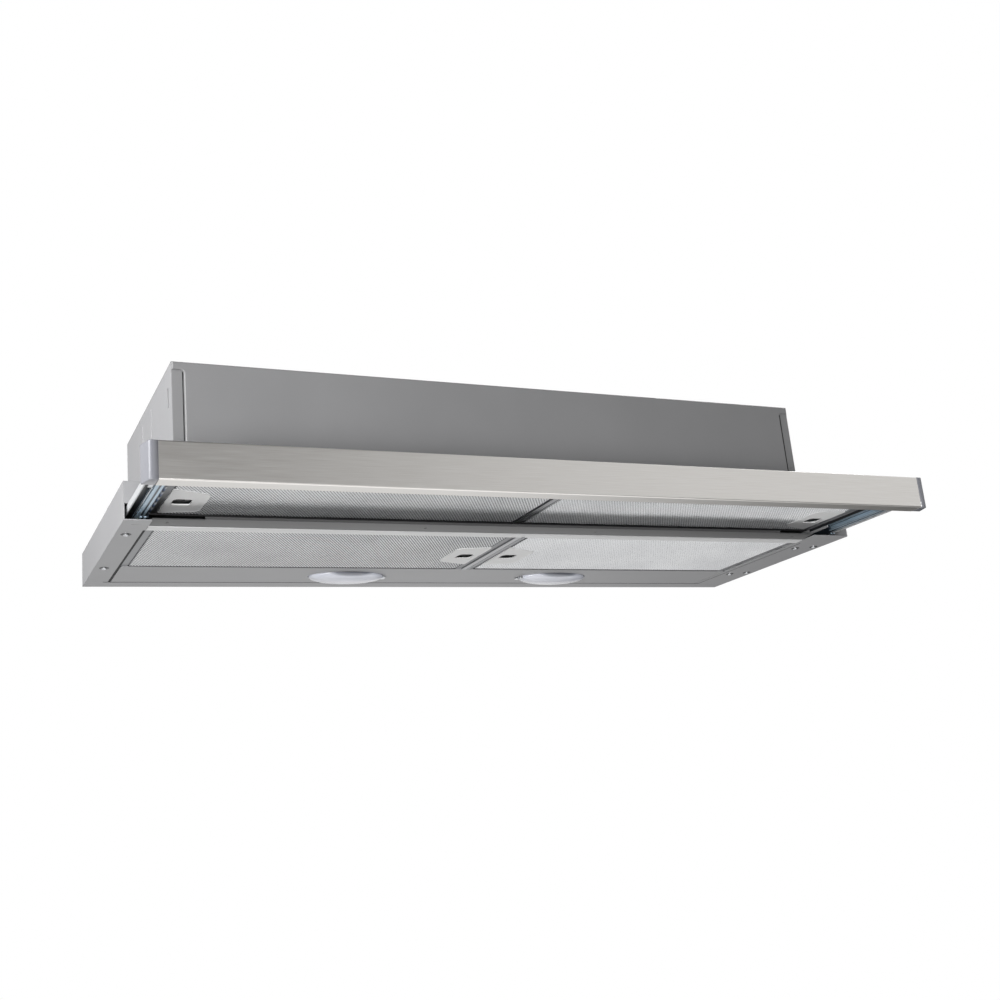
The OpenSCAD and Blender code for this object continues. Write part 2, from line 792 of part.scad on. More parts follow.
module flap(side, knuckles) {
    r = duct_d / 2 - duct_wall - flap_edge_gap;
    on_base() translate([0, collar_y, pin_z]) color("#6A6D72") difference() {
        union() {
            intersection() {
                translate([0, 0, -flap_t / 2]) cylinder(r = r, h = flap_t);
                mirror([0, side < 0 ? 1 : 0, 0]) block(-r, r, flap_root, r, -flap_t, flap_t);
            }
            for (x = knuckles) {
                translate([x - knuckle_w / 2, 0, 0]) rotate([0, 90, 0]) cylinder(r = knuckle_r, h = knuckle_w);
                mirror([0, side < 0 ? 1 : 0, 0])
                    block(x - knuckle_w / 2, x + knuckle_w / 2, 0, flap_root + flap_t, -flap_t / 2, flap_t / 2);
            }
        }
        translate([-r - over, 0, 0]) rotate([0, 90, 0]) cylinder(r = pin_r + bore_gap, h = 2 * r + 2 * over);
    }
}

module flap_front() {
    flap(-1, [-2 * knuckle_w - side_gap, 0, 2 * knuckle_w + side_gap]);
}

module flap_rear() {
    flap(1, [-knuckle_w - side_gap / 2, knuckle_w + side_gap / 2]);
}

// Electrical pieces

module terminal_box() {
    wall = 2;
    on_base() translate([gland_x, gland_y, case_top_z - box_h]) color("#D9D8D2") difference() {
        block(-box_l / 2, box_l / 2, -box_w / 2, box_w / 2, 0, box_h);
        block(-box_l / 2 + wall, box_l / 2 - wall, -box_w / 2 + wall, box_w / 2 - wall, wall, box_h - wall);
        translate([0, 0, box_h - wall - over]) cylinder(r = gland_body_r, h = wall + 2 * over);
    }
}

module cable_gland() {
    on_base() translate([gland_x, gland_y, housing_top_h]) color("#1E1F21") difference() {
        union() {
            cylinder(r = gland_nut_r, h = gland_nut_h, $fn = 6);
            cylinder(r = gland_body_r - screw_gap, h = gland_h);
            translate([0, 0, -housing_sheet - gland_nut_h]) cylinder(r = gland_body_r - screw_gap, h = gland_h);
        }
        translate([0, 0, -housing_sheet - gland_nut_h - over]) cylinder(r = gland_r, h = 2 * gland_h + 2 * over);
    }
}

module lamp_driver() {
    ear = 10;
    ear_t = 1.6;
    on_base() translate([driver_x, gland_y, case_top_z - driver_h]) color("#EDEDEA") {
        block(-driver_l / 2, driver_l / 2, -driver_w / 2, driver_w / 2, 0, driver_h);
        block(-driver_l / 2 - ear, driver_l / 2 + ear, -driver_w / 4, driver_w / 4, driver_h - ear_t, driver_h);
    }
}

module chassis_screws() {
    on_base() color("#D5D8DB") {
        for (x = [-fixing_x, fixing_x], y = [fixing_front_y, fixing_rear_y]) screw_up(x, y, 0);
        for (y = [fixing_front_y, fixing_rear_y]) screw_up(rail_screw_x, y + rail_screw_shift, 0);
        for (s = [-1, 1], t = [-1, 1])
            translate([s * collar_screw, collar_y + t * collar_screw, housing_top_h + collar_base_t])
                mirror([0, 0, 1]) screw_up(0, 0, 0);
    }
}

// Visor

module strip_outline(grow) {
    r = strip_bend_r - grow;
    y0 = rail_front_y + grow;
    y1 = rail_rear_y;
    z0 = -rail_drop + grow;
    z1 = rail_h - rail_drop - grow;
    for (z = [z0 + r, z1 - r]) translate([y0 + r, z]) circle(r = r);
    translate([y0, z0 + r]) square([y1 - y0, z1 - z0 - 2 * r]);
    translate([y0 + r, z0]) square([y1 - y0 - r, z1 - z0]);
}

module visor_strip() {
    on_base() color("#C9C6C0") along_x(-strip_half, 2 * strip_half) difference() {
        strip_outline(0);
        strip_outline(strip_t);
        translate([rail_front_y + strip_return, strip_t - rail_drop]) square([rail_d, rail_h]);
    }
}

module knob_slot(x, travel) {
    y = rail_rear_y - rail_wall - knob_w;
    block(x - knob_l / 4 - seat_gap, x + knob_l / 4 + travel + seat_gap, y - knob_neck / 2 - seat_gap,
        y + knob_neck / 2 + seat_gap, rail_h - rail_drop - 4 * rail_wall, rail_h + over);
}

module visor_rail() {
    inset = strip_t + rail_wall;
    on_base() color("#7D7F83") difference() {
        along_x(-strip_half, 2 * strip_half) difference() {
            strip_outline(strip_t);
            translate([rail_front_y + inset, inset - rail_drop])
                square([rail_d - inset - rail_wall, rail_h - 2 * inset]);
        }
        knob_slot(light_x, light_travel);
        knob_slot(speed_x, speed_travel);
    }
}

module end_cap(side) {
    z0 = -rail_drop;
    on_base() handed(side) color("#AEB0B5") difference() {
        translate([0, 0, z0]) linear_extrude(rail_h) intersection() {
            translate([strip_half, rail_front_y]) square([cap_w, rail_d]);
            union() {
                translate([half_w - cap_corner_r, rail_front_y + cap_corner_r]) circle(r = cap_corner_r);
                translate([half_w - 2 * cap_corner_r, rail_front_y + cap_corner_r])
                    square([2 * cap_corner_r, rail_d]);
            }
        }
        block(strip_half - over, strip_half + cap_groove, rail_front_y + 3 * cap_groove,
            rail_rear_y - 2 * cap_groove, z0 + 3 * cap_groove, z0 + rail_h - 3 * cap_groove);
    }
}

module visor_arm(side) {
    on_base() handed(side) color("#C4C6CA") along_y(rail_rear_y, arm_back) difference() {
        translate([arm_x0, arm_z]) square([arm_w, arm_h]);
        translate([arm_x0 + tray_sheet, arm_z - over]) square([arm_w - 2 * tray_sheet, arm_h - tray_sheet + over]);
    }
}

module bolt_window(side) {
    handed(side) translate([tray_half, visor_filter_y + visor_latch_shift, visor_filter_z])
        block(-2 * tray_sheet, over, -bolt_w / 2 - run_gap, bolt_w / 2 + run_gap,
            bolt_z - run_gap, bolt_z + bolt_t + run_gap);
}

module visor_tray() {
    t = tray_sheet;
    y0 = rail_rear_y;
    f0 = visor_filter_y - visor_filter_d / 2 - side_gap;
    f1 = visor_filter_y + visor_filter_d / 2 + side_gap;
    top = tray_z + tray_h;
    on_base() color("#55585C") difference() {
        union() {
            difference() {
                block(-tray_half, tray_half, y0, tray_rear_y, tray_z, top);
                block(-tray_half + t, tray_half - t, y0 + t, tray_rear_y - t, tray_z + t, top + over);
            }
            for (y = [f0 - t, f1]) block(-tray_half, tray_half, y, y + t, tray_z, tray_z + well_h);
        }
        block(-tray_half + t, tray_half - t, f0, f1, tray_z - over, tray_z + t + over);
        bolt_window(-1);
        bolt_window(1);
    }
}

module visor_divider() {
    f0 = visor_filter_y - visor_filter_d / 2 - side_gap;
    len = visor_filter_d + 2 * side_gap;
    on_base() color("#BFC1C4") difference() {
        along_y(f0, len) divider_outline(tray_z, divider_bar_h + tray_sheet);
        for (s = [-1, 1], u = [-1, 1])
            translate([0, visor_filter_y + s * tongue_share * visor_filter_d, visor_filter_z])
                block(u > 0 ? latch_end_x - tongue_l - run_gap : -divider_w, u > 0 ? divider_w : tongue_l - latch_end_x
                    + run_gap, -tongue_w / 2 - run_gap, tongue_w / 2 + run_gap, 0, filter_sheet + seat_gap);
    }
}

module control_box() {
    y1 = rail_rear_y - rail_wall;
    z1 = rail_h - rail_drop - strip_t - rail_wall;
    on_base() color("#ECEAE4") difference() {
        block(control_x - control_l / 2, control_x + control_l / 2, y1 - control_d, y1, z1 - control_h, z1);
        knob_slot(light_x, light_travel);
        knob_slot(speed_x, speed_travel);
    }
}

module knob(x) {
    y = rail_rear_y - rail_wall - knob_w;
    z1 = rail_h - rail_drop - strip_t;
    neck = 3 * rail_wall;
    on_base() translate([x, y, z1]) color("#2A2B2E") {
        block(-knob_l / 2, knob_l / 2, -knob_w / 2, knob_w / 2, seat_gap, knob_h);
        block(-knob_l / 4, knob_l / 4, -knob_neck / 2, knob_neck / 2, -neck, knob_h / 2);
        for (i = [-2:2]) translate([i * knob_l / 6, 0, 0])
            block(-knob_l / 24, knob_l / 24, -knob_w / 2, knob_w / 2, knob_h / 2, knob_h + seat_gap);
    }
}

module light_knob() {
    knob(light_x);
}

module speed_knob() {
    knob(speed_x);
}

module control_wires() {
    x = -tray_half - wire_gap - wire_r;
    on_base() for (i = [0, 1]) color(i == 0 ? "#9A9C9E" : "#2F5FA8")
        translate([x, rail_rear_y, tray_z - arm_h / 2 + i * (2 * wire_r + wire_gap)]) rotate([-90, 0, 0])
            cylinder(r = wire_r, h = wire_len);
}

// Filters, drawn from the latch end at x = 0 towards the tongues

// One strip of mesh folded to and fro between the frame's lips
module mesh_folds(x0, x1) {
    pitch = (filter_h - 2 * filter_sheet - mesh_t) / (mesh_layers - 1);
    for (i = [0:mesh_layers - 1]) translate([x0, filter_sheet + i * pitch]) square([x1 - x0, mesh_t]);
    for (i = [0:mesh_layers - 2])
        translate([i % 2 == 0 ? x1 - mesh_t : x0, filter_sheet + i * pitch]) square([mesh_t, pitch + mesh_t]);
}

module place_fixed(side) {
    on_base() handed(side) translate([latch_end_x, fixed_filter_y, filter_z]) children();
}

module place_visor(side) {
    on_base() handed(side) translate([tray_half - visor_latch_end, visor_filter_y, visor_filter_z])
        mirror([1, 0, 0]) children();
}

module filter_frame(len, d, shift) {
    color("#B7B9BC") difference() {
        union() {
            block(0, len, -d / 2, d / 2, 0, filter_h);
            for (s = [-1, 1]) translate([len, s * tongue_share * d, 0])
                block(-filter_sheet, tongue_l, -tongue_w / 2, tongue_w / 2, 0, filter_sheet);
        }
        block(filter_sheet, len - filter_sheet, -d / 2 + filter_sheet, d / 2 - filter_sheet,
            filter_sheet, filter_h - filter_sheet);
        block(filter_lip, len - filter_lip, -d / 2 + filter_lip, d / 2 - filter_lip, -over, filter_h + over);
        translate([0, shift, 0]) block(-over, 2 * filter_sheet, -bolt_w / 2 - seat_gap, bolt_w / 2 + seat_gap,
            bolt_z - seat_gap, bolt_z + bolt_t + seat_gap);
    }
}

module slider_room(shift) {
    translate([0, shift, 0]) block(-over, slider_l + latch_travel + run_gap, -slider_w / 2 - seat_gap,
        slider_w / 2 + seat_gap, -over, filter_h - 2 * filter_sheet - seat_gap);
}

module filter_mesh(len, d, shift) {
    room = filter_sheet + seat_gap;
    color("#C8CACC") difference() {
        along_y(room - d / 2, d - 2 * room) mesh_folds(room, len - room);
        translate([0, shift, 0]) linear_extrude(filter_sheet + latch_plate_t) latch_outline(2 * seat_gap);
        slider_room(shift);
    }
}

// Plate outline: square at the latch end, cut corners at the other
module latch_outline(grow) {
    x0 = filter_sheet + 2 * seat_gap - grow;
    x1 = latch_plate_x + latch_w + grow;
    y = latch_l / 2 + grow;
    polygon([[x0, -y], [x1 - latch_corner, -y], [x1, -y + latch_corner], [x1, y - latch_corner],
        [x1 - latch_corner, y], [x0, y]]);
}

module latch_plate(shift) {
    dish = 2;
    color("#D3D4D5") translate([0, shift, filter_sheet]) difference() {
        linear_extrude(latch_plate_t) latch_outline(0);
        block(finger_x, finger_x + finger_l, -finger_w / 2, finger_w / 2, -over, latch_plate_t + over);
        for (m = [0, 1]) mirror([0, m, 0])
            block(-over, filter_lip + dish, latch_l / 2 - latch_corner, latch_l, -over, latch_plate_t + over);
    }
}

module latch_slider(shift) {
    z0 = filter_sheet + latch_plate_t + seat_gap;
    z1 = filter_h - 2 * filter_sheet - 2 * seat_gap;
    color("#8E9196") translate([0, shift, 0]) {
        difference() {
            block(filter_sheet + latch_travel + seat_gap, slider_l, -slider_w / 2, slider_w / 2, z0, z1);
            block(finger_x, finger_x + finger_l - grip_t, -finger_w / 2 + grip_t / 2, finger_w / 2 - grip_t / 2,
                z0 - over, z1 - filter_sheet);
        }
        block(-bolt_out, filter_sheet + latch_travel + 2 * seat_gap, -bolt_w / 2, bolt_w / 2, bolt_z, bolt_z + bolt_t);
    }
}

module visor_filter_frame_left() { place_visor(-1) filter_frame(visor_filter_len, visor_filter_d, visor_latch_shift); }
module visor_filter_frame_right() { place_visor(1) filter_frame(visor_filter_len, visor_filter_d, visor_latch_shift); }
module visor_filter_mesh_left() { place_visor(-1) filter_mesh(visor_filter_len, visor_filter_d, visor_latch_shift); }
module visor_filter_mesh_right() { place_visor(1) filter_mesh(visor_filter_len, visor_filter_d, visor_latch_shift); }
module visor_latch_plate_left() { place_visor(-1) latch_plate(visor_latch_shift); }
module visor_latch_plate_right() { place_visor(1) latch_plate(visor_latch_shift); }
module visor_latch_left() { place_visor(-1) latch_slider(visor_latch_shift); }
module visor_latch_right() { place_visor(1) latch_slider(visor_latch_shift); }
module fixed_filter_frame_left() { place_fixed(-1) filter_frame(fixed_len_left, fixed_filter_d, fixed_latch_shift); }
module fixed_filter_frame_right() { place_fixed(1) filter_frame(fixed_len_right, fixed_filter_d, fixed_latch_shift); }
module fixed_filter_mesh_left() { place_fixed(-1) filter_mesh(fixed_len_left, fixed_filter_d, fixed_latch_shift); }
module fixed_filter_mesh_right() { place_fixed(1) filter_mesh(fixed_len_right, fixed_filter_d, fixed_latch_shift); }
module fixed_latch_plate_left() { place_fixed(-1) latch_plate(fixed_latch_shift); }
module fixed_latch_plate_right() { place_fixed(1) latch_plate(fixed_latch_shift); }
module fixed_latch_left() { place_fixed(-1) latch_slider(fixed_latch_shift); }
module fixed_latch_right() { place_fixed(1) latch_slider(fixed_latch_shift); }

lower_frame();
front_crossbar();
filter_divider();
lamp_strip();
housing_wrap();
housing_side(-1);  // housing_side_left
housing_side(1);  // housing_side_right
slide_bracket(-1);  // slide_bracket_left
slide_bracket(1);  // slide_bracket_right
slide_outer(-1);  // slide_outer_left
slide_outer(1);  // slide_outer_right
arm_guides();
lamp_holder(-1);  // lamp_holder_left
lamp_holder(1);  // lamp_holder_right
lamp_lens(-1);  // lamp_lens_left
lamp_lens(1);  // lamp_lens_right
scroll(-1);  // scroll_left
scroll(1);  // scroll_right
motor();
terminal_box();
lamp_driver();
cable_gland();
outlet_collar();
chassis_screws();
visor_strip();
visor_rail();
end_cap(-1);  // end_cap_left
end_cap(1);  // end_cap_right
visor_arm(-1);  // visor_arm_left
visor_arm(1);  // visor_arm_right
slide_inner(-1);  // slide_inner_left
slide_inner(1);  // slide_inner_right
visor_tray();
visor_divider();
control_box();
control_wires();
visor_filter_frame_left();
visor_filter_frame_right();
visor_filter_mesh_left();
visor_filter_mesh_right();
visor_latch_plate_left();
visor_latch_plate_right();
fixed_filter_frame_left();
fixed_filter_frame_right();
fixed_filter_mesh_left();
fixed_filter_mesh_right();
fixed_latch_plate_left();
fixed_latch_plate_right();
visor_latch_left();
visor_latch_right();
fixed_latch_left();
fixed_latch_right();
ball_cage(-1);  // ball_cage_left
ball_cage(1);  // ball_cage_right
fan_wheel();
motor_shaft();
flap_front();
flap_rear();
light_knob();
speed_knob();
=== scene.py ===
import math

import bmesh
import bpy
from mathutils import Matrix, Vector


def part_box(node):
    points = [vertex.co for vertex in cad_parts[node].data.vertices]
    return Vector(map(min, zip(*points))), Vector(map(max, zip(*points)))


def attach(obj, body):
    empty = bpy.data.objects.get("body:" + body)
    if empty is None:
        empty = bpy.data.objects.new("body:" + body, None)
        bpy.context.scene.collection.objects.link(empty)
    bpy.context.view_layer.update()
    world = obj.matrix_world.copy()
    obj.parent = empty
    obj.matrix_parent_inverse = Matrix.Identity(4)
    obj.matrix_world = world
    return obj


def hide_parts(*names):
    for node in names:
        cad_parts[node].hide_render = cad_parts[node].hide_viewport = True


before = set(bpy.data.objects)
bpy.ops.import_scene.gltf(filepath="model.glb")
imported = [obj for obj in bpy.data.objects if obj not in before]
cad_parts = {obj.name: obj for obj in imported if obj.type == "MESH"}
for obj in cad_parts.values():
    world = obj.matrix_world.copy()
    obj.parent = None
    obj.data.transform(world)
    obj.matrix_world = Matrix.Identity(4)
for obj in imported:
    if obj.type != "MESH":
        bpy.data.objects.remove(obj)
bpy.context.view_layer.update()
print("frame loaded:", len(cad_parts), "nodes")

mm = 0.001
frameFloor = -20 * mm  # underside of the lower frame
under = frameFloor / mm  # the same in mm, for the bars that are set on it
sides = {"left": -1, "right": 1}  # each side's direction along X


# shading helpers


def hexToLinear(code):
    def channel(text):  # the numbers are those of the sRGB curve
        value = int(text, 16) / 255
        return value / 12.92 if value <= 0.04045 else ((value + 0.055) / 1.055) ** 2.4

    return (channel(code[1:3]), channel(code[3:5]), channel(code[5:7]), 1.0)


def addNode(tree, kind, settings=None, sockets=None, stops=()):
    # a socket's value is a plain value or (node, output name)
    # stops are for a ramp, each one (place, hex colour or grey level)
    node = tree.nodes.new(kind)
    for key, value in (settings or {}).items():
        setattr(node, key, value)
    for key, value in (sockets or {}).items():
        if isinstance(value, tuple) and isinstance(value[0], bpy.types.Node):
            tree.links.new(value[0].outputs[value[1]], node.inputs[key])
        else:
            node.inputs[key].default_value = value
    while stops and len(node.color_ramp.elements) < len(stops):
        node.color_ramp.elements.new(0.5)
    for index, (place, colour) in enumerate(stops):
        element = node.color_ramp.elements[index]
        element.position = place
        element.color = hexToLinear(colour) if isinstance(colour, str) else (colour, colour, colour, 1)
    return node


def startMaterial(name, roughness, metallic=0.0, **extra):
    mat = bpy.data.materials.new(name)
    mat.use_nodes = True
    tree = mat.node_tree
    shader = tree.nodes["Principled BSDF"]
    shader.inputs["Roughness"].default_value = roughness
    shader.inputs["Metallic"].default_value = metallic
    for key, value in extra.items():
        shader.inputs[key].default_value = value
    coords = addNode(tree, "ShaderNodeTexCoord")
    return mat, tree, shader, coords


def mottle(tree, shader, pattern, dark, light, reach=0.2):
    # the colour wanders with the pattern between two near ones
    tint = addNode(tree, "ShaderNodeValToRGB", {}, {"Fac": (pattern, "Fac")},
                   [(0.5 - reach, dark), (0.5 + reach, light)])
    tree.links.new(tint.outputs["Color"], shader.inputs["Base Color"])


def varyGloss(tree, shader, pattern, roughness, spread):
    rough = addNode(tree, "ShaderNodeMapRange", {}, {
        "Value": (pattern, "Fac"), "From Min": 0.3, "From Max": 0.7,
        "To Min": roughness - spread, "To Max": roughness + spread})
    tree.links.new(rough.outputs["Result"], shader.inputs["Roughness"])


def addRelief(tree, shader, pattern, strength, depth, edge=0.0):
    # depth and edge are in mm; a softened edge catches a thin line of light
    bump = addNode(tree, "ShaderNodeBump", {},
                   {"Height": (pattern, "Fac"), "Strength": strength, "Distance": depth * mm})
    if edge:
        softened = addNode(tree, "ShaderNodeBevel", {"samples": 4}, {"Radius": edge * mm})
        tree.links.new(softened.outputs["Normal"], bump.inputs["Normal"])
    tree.links.new(bump.outputs["Normal"], shader.inputs["Normal"])


def bandedCoat(mat, axis, bands, distance=False):
    # lays colours side by side along one axis, each band (place in mm, colour)
    # with distance, a place is measured from the middle to either side
    tree = mat.node_tree
    shader = tree.nodes["Principled BSDF"]
    coords = addNode(tree, "ShaderNodeTexCoord")
    split = addNode(tree, "ShaderNodeSeparateXYZ", {}, {"Vector": (coords, "Object")})
    value = (split, axis)
    if distance:
        value = (addNode(tree, "ShaderNodeMath", {"operation": "ABSOLUTE"}, {0: value}), "Value")
    low, high = bands[0][0], bands[-1][0]
    along = addNode(tree, "ShaderNodeMapRange", {},
                    {"Value": value, "From Min": low * mm, "From Max": high * mm})
    ramp = addNode(tree, "ShaderNodeValToRGB", {}, {"Fac": (along, "Result")},
                   [((at - low) / (high - low), code) for at, code in bands])
    plain = shader.inputs["Base Color"].links[0].from_socket
    both = addNode(tree, "ShaderNodeMix", {"data_type": "RGBA", "blend_type": "MULTIPLY"}, {"Factor": 1.0})
    colourA, colourB, colourResult = both.inputs[6], both.inputs[7], both.outputs[2]
    tree.links.new(plain, colourA)
    tree.links.new(ramp.outputs["Color"], colourB)
    tree.links.new(colourResult, shader.inputs["Base Color"])


# painted sheet

coatLook = {
    "cloudsPerMetre": 7,
    "peel": 1.1,  # mm from dimple to dimple
    "peelDepth": 0.03,  # mm
    "edge": 0.6,  # mm that the paint rounds an edge
}


def powderCoat(name, code, shade, roughness=0.42):
    # sprayed and baked polyester powder: satin, with a faint orange peel
    mat, tree, shader, coords = startMaterial(name, roughness)
    cloud = addNode(tree, "ShaderNodeTexNoise", {},
                    {"Vector": (coords, "Object"), "Scale": coatLook["cloudsPerMetre"], "Detail": 3.0})
    mottle(tree, shader, cloud, shade, code)
    peel = addNode(tree, "ShaderNodeTexNoise", {},
                   {"Vector": (coords, "Object"), "Scale": 1 / (coatLook["peel"] * mm), "Detail": 1.0})
    addRelief(tree, shader, peel, strength=0.25, depth=coatLook["peelDepth"], edge=coatLook["edge"])
    return mat


midCoat = powderCoat("greyPowderCoat", "#9B9B9D", "#969698")
# the housing's front wrap takes a darker copy of the same grey coat, as painted shade
shadedWrapCoat = powderCoat("greyPowderCoatHousingShaded", "#838384", "#7E7E7F")
railCoat = powderCoat("greyPowderCoatRail", "#77777A", "#707073")
armCoat = powderCoat("silverPowderCoatArm", "#B9BABC", "#B2B3B5")
latchCoat = powderCoat("paintedLatchPlate", "#E2E2E2", "#DCDCDC", 0.5)
motorShell = powderCoat("motorShellPaint", "#54575B", "#4B4E52")

# painted shade darkens the crossbar's front band, under the visor; the pale rear band is a painted highlight
# along the rear step
crossbarCoat = powderCoat("greyPowderCoatCrossbarShadeAndHighlight", "#E0E0E1", "#DADADB")
crossbarShadeBands = [(-300, "#525252"), (-277, "#707070"), (-276, "#F4F4F4"), (-262, "#FFFFFF")]
bandedCoat(crossbarCoat, "Y", crossbarShadeBands)

# painted shadow darkens the tray towards its rear, where it lies under the crossbar; its coat is a darker
# grey, as painted shade
trayShadeCoat = powderCoat("trayPowderCoatPaintedShade", "#7A7A7D", "#737376")
trayShadowBands = [(-300, "#FFFFFF"), (-268, "#E0E0E0"), (-259, "#606060"), (-218, "#4A4A4A")]
bandedCoat(trayShadeCoat, "Y", trayShadowBands)


# brushed, plated and rolled metal


def brushedMetal(name, dark, light, roughness, line, lineLong, axis=0,
                 depth=0.02, spread=0.08, metallic=1.0):
    # belt-ground sheet: fine lines along one axis, in mm, that draw the highlights out across them
    # real lines are about 0.1 mm wide, too fine to show, so they are drawn coarser
    mat, tree, shader, coords = startMaterial(name, roughness, metallic)
    scale = [1 / (line * mm)] * 3
    scale[axis] = 1 / (lineLong * mm)
    stretched = addNode(tree, "ShaderNodeMapping", {}, {"Vector": (coords, "Object"), "Scale": scale})
    lines = addNode(tree, "ShaderNodeTexNoise", {},
                    {"Vector": (stretched, "Vector"), "Scale": 1.0, "Detail": 4.0, "Roughness": 0.6})
    mottle(tree, shader, lines, dark, light, reach=0.18)
    varyGloss(tree, shader, lines, roughness, spread)
    addRelief(tree, shader, lines, strength=0.3, depth=depth)
    return mat


stainless = brushedMetal("brushedStainless", "#CDCAC6", "#D9D7D4", 0.34, 0.45, 45, depth=0.012, spread=0.04)
dividerMetal = brushedMetal("satinAluminiumDivider", "#A2A3A5", "#B6B7B9", 0.42, 0.4, 30, axis=1)

# drawn steel, zinc plated and passivated: cold and slightly cloudy
# painted shade darkens the slides' web between the rolled edges, where they sit in a dark recess
zincSteel = brushedMetal("zincPlatedSlide", "#8FA3B4", "#C6D8E4", 0.34, 0.4, 40, axis=1, metallic=0.6)
slideShadeBands = [(424, "#303338"), (426.2, "#3A3E44"), (426.6, "#FFFFFF"), (428.5, "#FFFFFF"),
              (429.0, "#3A4048"), (430.6, "#3A4048"), (431.2, "#FFFFFF"), (434.2, "#FFFFFF")]
bandedCoat(zincSteel, "X", slideShadeBands, distance=True)

rolledLook = {
    "grain": 2.0,  # mm
    "depth": 0.01,  # mm
    "blotch": 8,  # grains wide
}


def rolledMetal(name, dark, light, roughness):
    # plain rolled sheet: soft blotches in colour and gloss
    mat, tree, shader, coords = startMaterial(name, roughness, 1.0)
    blotchScale = 1 / (rolledLook["grain"] * rolledLook["blotch"] * mm)
    blotch = addNode(tree, "ShaderNodeTexNoise", {},
                     {"Vector": (coords, "Object"), "Scale": blotchScale, "Detail": 4.0})
    mottle(tree, shader, blotch, dark, light)
    varyGloss(tree, shader, blotch, roughness, spread=0.06)
    grain = addNode(tree, "ShaderNodeTexNoise", {},
                    {"Vector": (coords, "Object"), "Scale": 1 / (rolledLook["grain"] * mm), "Detail": 2.0})
    addRelief(tree, shader, grain, strength=0.2, depth=rolledLook["depth"])
    return mat


filterMetal = rolledMetal("plainAluminiumFrame", "#848587", "#929395", 0.46)  # mill finish, grey and soft
brightSteel = rolledMetal("brightZincSteel", "#B9BBBE", "#D4D6D8", 0.3)  # bright zinc, clear highlights
cageMetal = rolledMetal("ballCageSteel", "#B09A6A", "#C8B380", 0.32)  # yellow passivation, a warm tint
# the mesh layers behind the front one are darkened as painted shade
shadedBackMetal = rolledMetal("foldedMeshLayersPaintedShade", "#3A3B3F", "#47484C", 0.62)  # mesh layers in their own shade


# plastics and rubber

mouldLook = {
    "cloudsPerMetre": 22,
    "grain": 0.5,  # mm; spark-eroded grain is finer, about 0.1 mm, and is drawn coarser to show
    "grainDepth": 0.02,  # mm
    "edge": 0.5,  # mm
}


def mouldedPlastic(name, code, shade, roughness=0.4):
    # injection moulded: even colour, faint grain from the tool
    mat, tree, shader, coords = startMaterial(name, roughness, IOR=1.49)
    cloud = addNode(tree, "ShaderNodeTexNoise", {},
                    {"Vector": (coords, "Object"), "Scale": mouldLook["cloudsPerMetre"], "Detail": 2.0})
    mottle(tree, shader, cloud, shade, code, reach=0.15)
    grain = addNode(tree, "ShaderNodeTexNoise", {},
                    {"Vector": (coords, "Object"), "Scale": 1 / (mouldLook["grain"] * mm), "Detail": 1.0})
    addRelief(tree, shader, grain, strength=0.25, depth=mouldLook["grainDepth"], edge=mouldLook["edge"])
    return mat


capPlastic = mouldedPlastic("silverMouldedCap", "#7F8086", "#797A80", 0.2)  # smooth tool, a clear shine
whitePlastic = mouldedPlastic("whiteMouldedPlastic", "#E4E2DB", "#DBD9D2")
blackPlastic = mouldedPlastic("blackMouldedPlastic", "#232427", "#1B1C1E")
# black for painted shadow in the gaps between parts
shadowGapBlack = mouldedPlastic("shadowGapBlackPaint", "#101011", "#0B0B0C", 0.75)  # dull, swallows the light

# a white and a blue wire, twisted: their colours take turns along it
greyWire = mouldedPlastic("twistedWirePair", "#FFFFFF", "#F0F0F0", 0.45)
wireTwist = {
    "start": -424,  # mm
    "turn": 18,  # mm
    "turns": 10,
    "colours": ((0, "#C9CBD0"), (6, "#55688C"), (12, "#2A2D36")),  # mm into a turn
}
wireBands = [(wireTwist["start"] + wireTwist["turn"] * turn + at, code)
             for turn in range(wireTwist["turns"]) for at, code in wireTwist["colours"]]
bandedCoat(greyWire, "Y", wireBands)
print("finishes made")

finishes = {
    "lower_frame": midCoat, "lamp_strip": midCoat, "front_crossbar": crossbarCoat, "housing_wrap": shadedWrapCoat,
    "filter_divider": dividerMetal, "arm_guides": whitePlastic, "motor": motorShell,
    "motor_shaft": brightSteel, "terminal_box": whitePlastic, "lamp_driver": whitePlastic,
    "cable_gland": blackPlastic, "outlet_collar": blackPlastic, "fan_wheel": blackPlastic,
    "flap_front": blackPlastic, "flap_rear": blackPlastic, "visor_strip": stainless, "visor_rail": railCoat,
    "visor_tray": trayShadeCoat, "visor_divider": dividerMetal, "control_box": whitePlastic,
    "control_wires": greyWire, "light_knob": blackPlastic, "speed_knob": blackPlastic,
}
pairFinishes = {
    "housing_side": midCoat, "slide_bracket": midCoat, "slide_outer": zincSteel, "slide_inner": zincSteel,
    "ball_cage": cageMetal, "lamp_holder": whitePlastic, "scroll": blackPlastic,
    "visor_filter_frame": filterMetal, "visor_latch": blackPlastic,
    "fixed_filter_frame": filterMetal, "fixed_latch": blackPlastic,
}
for pair, finish in pairFinishes.items():
    for side in sides:
        finishes[f"{pair}_{side}"] = finish

for nodeName, finish in finishes.items():
    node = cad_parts[nodeName]
    if not node.material_slots:
        node.data.materials.append(finish)
    for place in node.material_slots:
        place.material = finish


# modelling helpers


def addPiece(bm, name, material, body, smooth=False):
    for f in bm.faces:
        f.smooth = smooth
    data = bpy.data.meshes.new(name)
    bm.to_mesh(data)
    bm.free()
    data.materials.append(material)
    piece = bpy.data.objects.new(name, data)
    bpy.context.scene.collection.objects.link(piece)
    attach(piece, body)
    return piece


